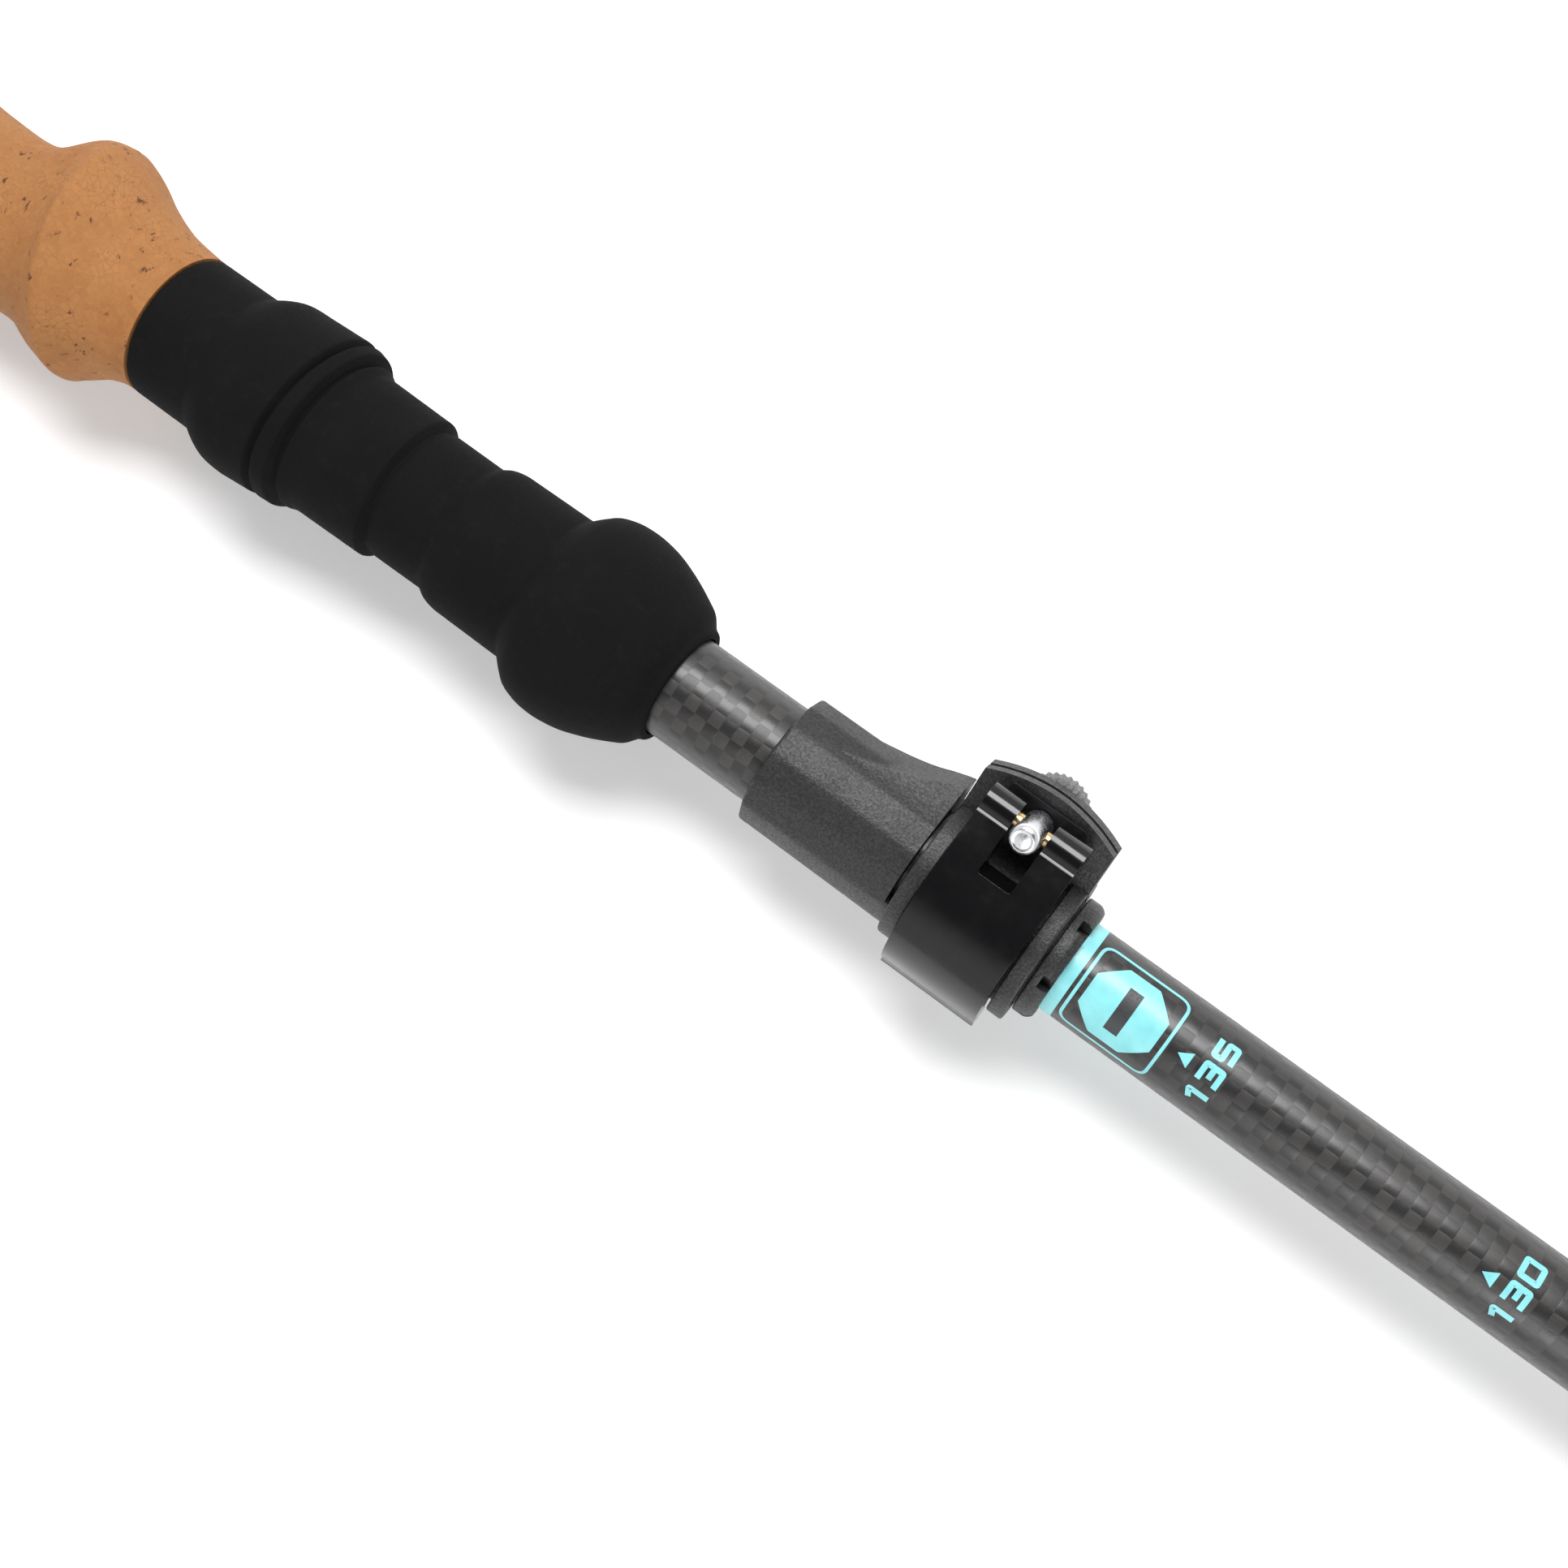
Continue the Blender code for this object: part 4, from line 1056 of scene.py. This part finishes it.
OCTAGON_START, OCTAGON_SIZE = 52.6, 12.2
TRIANGLE_START, NUMBER_START, MARK_STEP = 68.0, 71.8, 50.0


def dense(points, closed, step=0.25):
    """The outline's points with more between them, so that it can be bent."""
    result = []
    count = len(points)
    for i in range(count if closed else count - 1):
        one, two = Vector(points[i]), Vector(points[(i + 1) % count])
        pieces = max(1, math.ceil((two - one).length / step))
        result += [one.lerp(two, k / pieces) for k in range(pieces)]
    if not closed:
        result.append(Vector(points[-1]))
    return result


def wrapped(along, arc, radius, centre_angle):
    angle = centre_angle + arc / radius
    return Vector((along, radius * math.cos(angle), radius * math.sin(angle))) * MM


def add_stroke(bm, line, width, closed, radius, centre_angle, lift):
    """A stroke along a centre line, as a thin raised strip on the tube."""
    points = dense(line, closed)
    count = len(points)
    rows = []
    high, low = radius + lift, radius - SUNK
    for i, point in enumerate(points):
        side = side_of(points, i, closed) * (width / 2)
        left, right = point + side, point - side
        corners = ((left, high), (right, high), (right, low), (left, low))
        rows.append([bm.verts.new(wrapped(at.x, at.y, r, centre_angle)) for at, r in corners])
    for i in range(count if closed else count - 1):
        one, two = rows[i], rows[(i + 1) % count]
        for a in range(4):
            b = (a + 1) % 4
            bm.faces.new((one[a], one[b], two[b], two[a]))
    if not closed:
        bm.faces.new(reversed(rows[0]))
        bm.faces.new(rows[-1])


def add_patch(bm, high, radius, centre_angle, step):
    """A filled shape, the same on both sides of its middle line: high(along) gives its
    half width over the along range in high.span."""
    start, end = high.span
    count = max(2, math.ceil((end - start) / step))
    across = 28
    top, bottom = [], []
    for i in range(count + 1):
        along = start + (end - start) * i / count
        half = high(along)
        arcs = [-half + 2 * half * k / across for k in range(across + 1)]
        for rows, reach in ((top, radius + INK_LIFT), (bottom, radius - SUNK)):
            rows.append([bm.verts.new(wrapped(along, arc, reach, centre_angle)) for arc in arcs])
    for i in range(count):
        for k in range(across):
            bm.faces.new((top[i][k], top[i][k + 1], top[i + 1][k + 1], top[i + 1][k]))
            bm.faces.new((bottom[i][k], bottom[i + 1][k], bottom[i + 1][k + 1], bottom[i][k + 1]))
        for k in (0, across):
            bm.faces.new((top[i][k], top[i + 1][k], bottom[i + 1][k], bottom[i][k]))
    for i in (0, count):
        for k in range(across):
            bm.faces.new((top[i][k], top[i][k + 1], bottom[i][k + 1], bottom[i][k]))


def add_number(bm, number, start, radius, centre_angle):
    """Digits reading round the tube, their tops towards the grip."""
    text = str(number)
    for place, digit in enumerate(text):
        left = (place - (len(text) - 1) / 2) * DIGIT_STEP - DIGIT_WIDE / 2
        for line in GLYPHS[digit]:
            closed = digit in CLOSED_GLYPHS
            flat = [(start + DIGIT_TALL * (1 - y), -(left + DIGIT_WIDE * x)) for x, y in line]
            soft = rounded(flat, CORNER, closed, 5)
            add_stroke(bm, soft, STROKE, closed, radius, centre_angle, INK_LIFT)


def add_triangle(bm, tip, length, wide, radius, centre_angle):
    """A filled triangle pointing to the grip."""

    def high(along):
        return wide / 2 * max((along - tip) / length, 0.02)

    high.span = (tip, tip + length)
    add_patch(bm, high, radius, centre_angle, 0.25)


def sign_frame(start, size, corner):
    half = size / 2
    corners = [(start, -half), (start + size, -half), (start + size, half), (start, half)]
    return rounded(corners, corner, True, 8)


def add_octagon(bm, start, size, wide, radius, centre_angle):
    corner = 0.29
    cut = size * corner

    def high(along):
        inset = min(along - start, start + size - along)
        return wide / 2 - max(0.0, (cut - inset) / cut) * wide * corner

    high.span = (start, start + size)
    add_patch(bm, high, radius, centre_angle, 0.3)


def make_print(name, lock_start, radius, body, numbers):
    """A turquoise band, and on two opposite sides a framed sign and the length scale.
    The sign holds a plain bar."""
    x0 = lock_start + SCALE_ZERO
    turns = (SIGN_TURN, SIGN_TURN + math.pi)
    wide = 11.9 * radius / MIDDLE_RADIUS

    def bright(bm):
        for turn in turns:
            frame_line = sign_frame(x0 + FRAME_START, FRAME_SIZE, 2.0)
            add_stroke(bm, frame_line, 0.5, True, radius, turn, INK_LIFT)
            add_octagon(bm, x0 + OCTAGON_START, OCTAGON_SIZE, wide, radius, turn)
            for i, number in enumerate(numbers):
                mark = x0 + MARK_STEP * i
                add_triangle(bm, mark + TRIANGLE_START, 2.1, 2.5, radius, turn)
                add_number(bm, number, mark + NUMBER_START, radius, turn)

    def dark(bm):
        at = x0 + OCTAGON_START + OCTAGON_SIZE / 2
        for turn in turns:
            add_stroke(bm, [(at, -3.6), (at, 3.6)], 2.3, False, radius, turn, BAR_LIFT)

    scale = mesh_from(name + "_scale", bright)
    add_object(name + "_scale", scale, AXIS, "ink", body, (), 40)
    bars = mesh_from(name + "_sign_bars", dark)
    add_object(name + "_sign_bars", bars, AXIS, "dark_ink", body, (), 40)
    low, high = x0 + BAND[0], x0 + BAND[1]
    outline = [
        (low, radius - SUNK), (low, radius + 0.04), (high, radius + 0.04), (high, radius - SUNK),
    ]
    band = lathe_mesh(name + "_band", outline, 160)
    add_object(name + "_band", band, AXIS, "ink", body)


# ---------------------------------------------------------------- quick lock

SLEEVE_END = 25.8
CLAMP_START = 26.6
CLAMP_END = 48.85
FLANGE = 2.6
COLLAR_START = 49.15
COLLAR_END = 52.25
BOLT_X = 37.5
PIN_UP = 6.0
NEAR_EAR = 2.2
FAR_EAR = -2.5
PIVOT_OUT = 16.7


def ramp_rings(slim):
    """Thumb ramp: starts flush and wide on the sleeve, ends narrow and tall."""
    end = SLEEVE_END + 0.35
    places = [5.0, 8.5, 13.0, 17.0, 20.0, 23.0, end]
    near = (
        [7.6, 7.4, 7.2, 7.0, 6.8, 6.6, 6.5],
        [6.0, 6.6, 7.3, 7.9, 8.3, 8.6, 8.8],
        [5.6, 5.5, 4.9, 4.0, 3.2, 2.4, 2.0],
        [8.9, 9.5, 10.35, 11.3, 12.2, 13.3, 14.0],
    )
    far = (
        [7.2, 7.0, 6.5, 5.8, 5.1, 4.6, 4.4],
        [6.0, 6.6, 7.5, 8.5, 9.3, 9.9, 10.4],
        [4.6, 4.5, 4.4, 4.2, 4.1, 4.1, 4.1],
        [9.0, 9.55, 10.3, 11.15, 12.0, 13.1, 13.9],
    )
    rings = []
    for k in range(34):
        along = places[0] + (end - places[0]) * k / 33
        side, up, top, high = [smooth_through(column, places, along) for column in near]
        ring = [(5.0, side), (up - slim, side), (high - slim, top)]
        side, up, top, high = [smooth_through(column, places, along) for column in far]
        ring += [(high - slim, -top), (up - slim, -side), (5.0, -side)]
        rings.append([(along, u, w) for u, w in ring])
    return rings


def make_housing(prefix, start, slim, body):
    """Lock housing: faceted sleeve with its ramp, split clamp ring, flanges and ears."""
    sleeve, flange, ring = 11.0 - slim, 12.2 - slim, 10.6 - slim
    hole = UPPER_RADIUS - slim + GAP
    facets = 14

    def faceted(along, angle, radius):
        if radius < hole + 1.0 or along > SLEEVE_END + 0.9:
            return radius
        half = math.pi / facets
        local = (angle + half) % (2 * half) - half
        flat = math.cos(half) / math.cos(local)
        return radius * min(flat * 1.004, 1.0)

    sleeve_outline = [
        (0.0, 6.0, 0), (0.0, sleeve, 0.7), (CLAMP_START + 0.5, sleeve, 0),
        (CLAMP_START + 0.5, 6.0, 0),
    ]
    outline = rounded(sleeve_outline, 0.3, True)
    base = lathe_mesh("sleeve", outline, facets * 14, faceted)
    clamp_outline = [
        (CLAMP_START, 6.0, 0), (CLAMP_START, flange, 0.4), (CLAMP_START + FLANGE, flange, 0.3),
        (CLAMP_START + FLANGE, ring, 0), (CLAMP_END - FLANGE, ring, 0),
        (CLAMP_END - FLANGE, flange, 0.3), (CLAMP_END, flange, 0.4), (CLAMP_END, 6.0, 0),
    ]
    clamp = lathe_mesh("clamp", rounded(clamp_outline, 0.3, True), 144)
    middle = (CLAMP_START + CLAMP_END) / 2
    half = (CLAMP_END - CLAMP_START) / 2
    ear = []
    for i in range(25):
        across = 1.0 - i / 12.0
        ear.append((middle + across * half, 18.8 - slim + 2.7 * (1.0 - across * across)))
    ear += [(CLAMP_START, 8.0), (CLAMP_END, 8.0)]
    ears = prism_mesh("ears", ear, FAR_EAR, NEAR_EAR, lambda a, b, c: (a, b, c))
    ramp = loft_mesh("ramp", ramp_rings(slim))
    mesh = combined(base, [clamp, ears, ramp], "UNION")
    bore_outline = [
        (-1.0, 0.0), (-1.0, hole), (30.8, hole), (30.8, hole + 0.6),
        (CLAMP_END + 1.0, hole + 0.6), (CLAMP_END + 1.0, 0.0),
    ]
    out = PIVOT_OUT - slim
    hole_outline = [polar(2.1, 10.0 * i) for i in range(36)]
    cutters = [
        lathe_mesh("bore", bore_outline, 144),
        box_mesh("slot", (SLEEVE_END, -4.0, -19.0), (CLAMP_START - 0.013, 25.0, 19.0)),
        box_mesh("slit", (CLAMP_START - 0.5, 5.0, -0.45), (50.0, 30.0, 0.45)),
        prism_mesh("bolt", hole_outline, -8.0, 8.0, lambda a, b, c: (BOLT_X + a, out + b, c)),
    ]
    mesh = combined(mesh, cutters, "DIFFERENCE")
    mesh = bevelled(mesh, 0.22, 32.0)
    node = prefix + "_lock_housing"
    hard_surface(add_skin(node, mesh, lock_frame(start), "matte", body, 35))


def make_collet(prefix, start, slim, body):
    """Split bush with a castellated collar outside the housing."""
    inner = MIDDLE_RADIUS - slim + GAP
    collar = 9.9 - slim
    outline = [
        (31.1, inner, 0), (31.1, inner + 1.2, 0.3), (COLLAR_START, inner + 1.2, 0),
        (COLLAR_START, collar, 0.3), (COLLAR_END - 0.9, collar, 0.5),
        (COLLAR_END, collar - 0.75, 0.3), (COLLAR_END, inner, 0),
    ]
    base = lathe_mesh("collet", rounded(outline, 0.2, True), 144)
    cutters = [box_mesh("slit", (30.0, -20.0, -0.6), (60.0, -3.0, 0.6))]
    for i in range(6):
        notch = box_mesh("notch", (COLLAR_END - 1.8, inner - 3.0, -1.1), (60.0, 20.0, 1.1))
        notch.transform(Matrix.Rotation(math.tau * (i + 0.5) / 6, 4, "X"))
        cutters.append(notch)
    mesh = bevelled(combined(base, cutters, "DIFFERENCE"), 0.15, 35.0)
    node = prefix + "_collet"
    hard_surface(add_skin(node, mesh, lock_frame(start), "matte", body, 35))


def make_lever(prefix, start, slim, body):
    """Cam lever: knuckles, fork, a curved back, and a thin lip at its free end."""
    pivot = Vector((PIVOT_OUT - slim, PIN_UP))
    outer_radius, inner_radius = 15.0 - slim, 12.0 - slim
    plate_start = (pivot.x - 1.2, pivot.y + 3.15)
    bend = [
        polar(outer_radius, 62.0),
        polar(outer_radius + 0.15, 78.0),
        polar(outer_radius + 0.15, 94.0),
    ]
    round_side = [polar(outer_radius, angle) for angle in range(98, 151, 3)]
    tip = [
        polar(outer_radius + 0.1, 153.5),
        polar(outer_radius + 0.5, 156.0),
        polar(outer_radius + 0.5, 157.6),
        polar(inner_radius + 0.3, 160.0),
    ]
    inner = [polar(inner_radius, angle) for angle in range(157, 27, -4)]
    barrel = [polar(2.8, 230 + 9.8 * k, pivot) for k in range(25)]
    outer = [plate_start] + bend + round_side
    low = CLAMP_START + FLANGE + GAP
    high = CLAMP_END - FLANGE - GAP
    outline = outer + tip + inner + barrel
    base = prism_mesh("lever", outline, low, high, lambda a, b, c: (c, a, b))
    fork_outline = rounded(
        [
            (BOLT_X - 2.8, pivot.x - 7.4), (BOLT_X + 2.8, pivot.x - 7.4), (BOLT_X + 2.8, 30.0),
            (BOLT_X - 2.8, 30.0),
        ],
        0.5,
        True,
    )
    fork = prism_mesh("fork", fork_outline, 1.0, 20.0, lambda a, b, c: (a, b, c))
    hole_outline = [polar(1.55, 15.0 * i, pivot) for i in range(24)]
    hole = prism_mesh("hole", hole_outline, 20.0, 60.0, lambda a, b, c: (c, a, b))
    mesh = bevelled(combined(base, [fork, hole], "DIFFERENCE"), 0.3, 32.0)
    node = prefix + "_lock_lever"
    hard_surface(add_skin(node, mesh, lock_frame(start), "gloss", body, 35))


def at_bolt(start, out, up):
    """The lock's own frame, moved onto its draw bolt's axis."""
    return lock_frame(start) @ Matrix.Translation(Vector((BOLT_X, out, up)) * MM)


def upright(start, out, up=0.0):
    """The frame on the draw bolt's axis, turned so that X runs up it."""
    return at_bolt(start, out, up) @ Matrix.Rotation(math.radians(-90), 4, "Y")


def make_hardware(prefix, start, slim, body, nut_body):
    """Draw bolt, lever pin, saddle plate and knurled thumb nut."""
    out = PIVOT_OUT - slim
    bolt_outline = [
        (-7.2, 0.0), (-7.2, 1.5), (-6.8, 1.8), (3.25, 1.8), (3.25, 2.3), (10.4, 2.3),
        (10.95, 2.05), (11.25, 1.6), (11.1, 1.3), (11.15, 0.9), (11.3, 0.0),
    ]
    bolt = lathe_mesh("bolt", rounded(bolt_outline, 0.3), 72)
    add_skin(prefix + "_draw_bolt", bolt, upright(start, out), "steel", body)
    pin_outline = [(-7.8, 0.0), (-7.8, 1.25), (7.8, 1.25), (7.8, 0.0)]
    pin = lathe_mesh("pin", rounded(pin_outline, 0.3), 48)
    place = at_bolt(start, out, PIN_UP)
    add_skin(prefix + "_lever_pin", pin, place, "brass", body)
    plate_outline = rounded([(-6.5, -3.2), (6.5, -3.2), (6.5, 3.2), (-6.5, 3.2)], 0.8, True)
    plate = prism_mesh("plate", plate_outline, 0.0, 0.45, lambda a, b, c: (a, b, c))
    hole_outline = [polar(2.1, 10.0 * i) for i in range(36)]
    hole = prism_mesh("hole", hole_outline, -2.0, 2.0, lambda a, b, c: (a, b, c))
    plate = bevelled(combined(plate, [hole], "DIFFERENCE"), 0.08, 35.0)
    place = at_bolt(start, out, NEAR_EAR + GAP)
    add_skin(prefix + "_saddle_plate", plate, place, "black_steel", body)

    def knurl(along, angle, radius):
        if radius < 4.6:
            return radius
        return radius - 0.32 * (0.5 + 0.5 * math.cos(angle * 30))

    nut_outline = [
        (-3.7, 2.1, 0), (-3.7, 4.2, 0.4), (-3.35, 4.9, 0.2), (-2.9, 5.5, 0.3), (-0.5, 5.5, 0.3),
        (0.0, 4.9, 0.2), (0.0, 2.1, 0),
    ]
    nut = lathe_mesh("nut", rounded(nut_outline, 0.2, True), 240, knurl)
    place = upright(start, out, FAR_EAR - GAP)
    add_skin(prefix + "_thumb_nut", nut, place, "grey", nut_body, 25)


# ---------------------------------------------------------------- tip end


def make_ferrule():
    """Tip ferrule: ribbed socket, shoulder, basket thread and a long taper."""
    outline = [
        (30.0, 0.0), (30.0, 6.9), (0.0, 6.9), (0.0, 7.7), (1.0, 8.1),
    ]
    for k in range(5):
        at = 5.0 + 3.4 * k
        outline += [(at, 8.15), (at + 0.4, 7.85), (at + 1.2, 7.85), (at + 1.6, 8.2)]
    outline += [(25.0, 8.4), (27.0, 9.3), (33.0, 9.3), (33.0, 6.7)]
    for k in range(6):
        at = 34.0 + 2.1 * k
        outline += [(at, 6.6), (at + 0.6, 7.0), (at + 1.1, 7.0), (at + 1.7, 6.6)]
    outline += [(47.6, 6.6), (48.5, 6.4), (90.0, 5.2), (90.0, 2.9), (75.7, 2.9), (75.7, 0.0)]
    mesh = lathe_mesh("tip_ferrule_skin", rounded(outline, 0.3), 128)
    place = from_axis(FERRULE)
    add_skin("tip_ferrule", mesh, place, "head", "lower_section")


def make_basket():
    """Small basket: hub, dished web with round holes, ribs and a rolled rim."""
    outline = [
        (0.0, 7.3, 0), (0.0, 9.3, 0.4), (6.6, 9.6, 0.8), (8.3, 17.0, 0.6), (7.5, 17.7, 0.4),
        (7.7, 18.45, 0.5), (11.1, 18.45, 0.5), (11.2, 17.7, 0.4), (10.5, 17.0, 0.6),
        (10.2, 9.8, 0.5), (12.5, 9.3, 0.4), (12.5, 7.3, 0),
    ]
    base = lathe_mesh("basket", rounded(outline, 0.4, True), 160)
    holes = []
    for i in range(8):
        hole_outline = [polar(2.3, 12.0 * k, polar(13.4, 45.0 * (i + 0.5))) for k in range(30)]
        holes.append(prism_mesh("hole", hole_outline, -5.0, 20.0, lambda a, b, c: (c, -b, a)))
    mesh = bevelled(combined(base, holes, "DIFFERENCE"), 0.25, 40.0)
    place = from_axis(BASKET)
    hard_surface(add_skin("basket", mesh, place, "head", "basket_body"))


def make_tip_metal():
    """Steel holder with turned grooves, and the carbide point with its hollow end."""
    holder = [
        (0.0, 0.0), (0.0, 2.6), (14.3, 2.6), (14.3, 4.2), (16.0, 4.2), (16.3, 3.95), (16.9, 3.95),
        (17.2, 4.2), (20.0, 4.2), (28.0, 3.2), (28.0, 1.9), (23.5, 1.9), (23.5, 0.0),
    ]
    mesh = lathe_mesh("tip_holder_skin", rounded(holder, 0.2), 96)
    place = from_axis(HOLDER)
    add_skin("tip_holder", mesh, place, "steel", "lower_section")
    length = box_mm("carbide_tip")[1][0] - POINT
    point = [
        (0.0, 0.0), (0.0, 1.6), (length - 0.5, 1.6), (length, 1.25), (length - 0.2, 0.9),
        (length - 0.9, 0.0),
    ]
    mesh = lathe_mesh("carbide_tip_skin", rounded(point, 0.1), 72)
    place = from_axis(POINT)
    add_skin("carbide_tip", mesh, place, "carbide", "lower_section")


def make_foot():
    """Rubber foot: rolled mouth, waist with grip rings, and a treaded flat end."""

    def tread(along, angle, radius):
        if along > 44.0 and radius > 9.0:
            return radius - 0.7 * max(0.0, math.cos(angle * 12)) ** 4
        return radius

    outline = [
        (39.8, 0.0), (39.8, 2.4), (31.0, 3.7), (23.0, 4.6), (15.9, 4.6), (15.9, 5.6), (0.0, 6.1),
        (0.0, 8.0), (0.8, 8.7), (5.0, 8.7), (6.2, 8.1),
    ]
    for k in range(4):
        at = 11.0 + 4.2 * k
        out = 8.1 + 0.065 * (at - 10.0)
        high = out + 0.45
        outline += [(at, out), (at + 0.9, high), (at + 1.9, high), (at + 2.8, out + 0.1)]
    outline += [(32.0, 9.9), (42.0, 12.3), (47.0, 13.0), (50.2, 12.9), (51.0, 12.0)]
    outline += [(51.0, 8.4), (50.0, 8.0), (50.0, 4.4), (51.0, 4.0), (51.0, 0.0)]
    mesh = lathe_mesh("rubber_foot_skin", rounded(outline, 0.5), 192, tread)
    place = from_axis(FOOT)
    add_skin("rubber_foot", mesh, place, "rubber", "foot", 40)


# ---------------------------------------------------------------- scene


def make_floor():
    g = Graph("floor")
    grain = g.noise(g.place(), 40.0, 3.0)
    colour = g.mix(grain, (0.90, 0.90, 0.90), (0.93, 0.93, 0.93))
    floor = bpy.data.meshes.new("floor")
    half = 4.0
    corners = [(-half, -half, 0), (half, -half, 0), (half, half, 0), (-half, half, 0)]
    floor.from_pydata(corners, [], [(0, 1, 2, 3)])
    floor.materials.append(g.finish(colour, 0.8))
    obj = bpy.data.objects.new("floor", floor)
    bpy.context.scene.collection.objects.link(obj)


def add_light(name, location, target, size_x, size_y, watts):
    light = bpy.data.lights.new(name, "AREA")
    light.shape = "RECTANGLE"
    light.size = size_x
    light.size_y = size_y
    light.energy = watts
    obj = bpy.data.objects.new(name, light)
    obj.location = location
    obj.rotation_euler = (Vector(target) - Vector(location)).to_track_quat("-Z", "Y").to_euler()
    bpy.context.scene.collection.objects.link(obj)


def make_light():
    """A large soft key from the finger side, a weaker fill, and a pale surround."""
    centre = Vector((UPPER_LOCK * MM, AXIS_Y * MM, 0))
    add_light("key", centre + Vector((-0.2, 0.58, 1.05)), centre, 0.75, 0.6, 19.0)
    add_light("fill", centre + Vector((0.45, -0.75, 0.7)), centre, 0.6, 0.6, 6.0)
    world = bpy.data.worlds.new("surround")
    bpy.context.scene.world = world
    world.use_nodes = True
    background = world.node_tree.nodes["Background"]
    nodes, links = world.node_tree.nodes, world.node_tree.links
    spot = nodes.new("ShaderNodeTexCoord")
    parts = nodes.new("ShaderNodeSeparateXYZ")
    ramp = nodes.new("ShaderNodeValToRGB")
    low, high = ramp.color_ramp.elements
    low.position, low.color = 0.62, (1.0, 1.0, 1.0, 1.0)
    high.position, high.color = 0.86, (0.10, 0.10, 0.105, 1.0)
    links.new(spot.outputs["Generated"], parts.inputs[0])
    links.new(parts.outputs["Z"], ramp.inputs["Fac"])
    links.new(ramp.outputs["Color"], background.inputs["Color"])
    background.inputs["Strength"].default_value = 0.95


CAMERA_TILT = math.radians(10.0)
CAMERA_ROLL = math.radians(35.8)
CAMERA_FOCAL = 49.85
CAMERA_DISTANCE = 324.3


def make_camera():
    """Nearly straight down on the upper lock, with the pole falling to the right."""
    data = bpy.data.cameras.new("camera")
    data.lens = CAMERA_FOCAL
    data.sensor_width = 36.0
    data.clip_start = 0.01
    obj = bpy.data.objects.new("camera", data)
    bpy.context.scene.collection.objects.link(obj)
    bpy.context.scene.camera = obj
    back = Vector((math.sin(CAMERA_TILT), 0.0, math.cos(CAMERA_TILT)))
    along = Vector((math.cos(CAMERA_TILT), 0.0, -math.sin(CAMERA_TILT)))
    across = Vector((0.0, 1.0, 0.0))
    right = along * math.cos(CAMERA_ROLL) + across * math.sin(CAMERA_ROLL)
    up = across * math.cos(CAMERA_ROLL) - along * math.sin(CAMERA_ROLL)
    target = Vector((UPPER_LOCK + 2.5, AXIS_Y - 2.8, AXIS_Z))
    at = (target + back * CAMERA_DISTANCE) * MM
    obj.matrix_world = Matrix(
        (
            (right.x, up.x, back.x, at.x), (right.y, up.y, back.y, at.y),
            (right.z, up.z, back.z, at.z), (0.0, 0.0, 0.0, 1.0),
        )
    )


# ---------------------------------------------------------------- build


make_floor()
make_light()
make_camera()
bpy.context.scene.view_settings.view_transform = "Standard"

make_cork_grip()
make_head()
make_cap_disc()
make_foam()
make_strap()
make_wedge()
make_strap_pin()

make_tube("upper_tube", UPPER_RADIUS, "upper_carbon", "handle")
make_tube("middle_tube", MIDDLE_RADIUS, "middle_carbon", "middle_section")
make_tube("lower_tube", LOWER_RADIUS, "lower_carbon", "lower_section")
make_plug()
make_bush("middle_bush", MIDDLE_RADIUS, "middle_carrier")
make_bush("lower_bush", LOWER_RADIUS, "lower_carrier")
make_print("middle", UPPER_LOCK, MIDDLE_RADIUS, "middle_section", range(135, 114, -5))
make_print("lower", LOWER_LOCK, LOWER_RADIUS, "lower_section", range(135, 99, -5))

for lock_prefix, lock_start, lock_slim, lock_body in (
    ("upper", UPPER_LOCK, 0.0, "handle"),
    ("lower", LOWER_LOCK, SLIM, "middle_section"),
):
    make_housing(lock_prefix, lock_start, lock_slim, lock_body)
    make_collet(lock_prefix, lock_start, lock_slim, lock_body)
    make_lever(lock_prefix, lock_start, lock_slim, lock_prefix + "_lever")
    make_hardware(lock_prefix, lock_start, lock_slim, lock_body, lock_prefix + "_nut")

make_ferrule()
make_basket()
make_tip_metal()
make_foot()

bpy.context.view_layer.update()
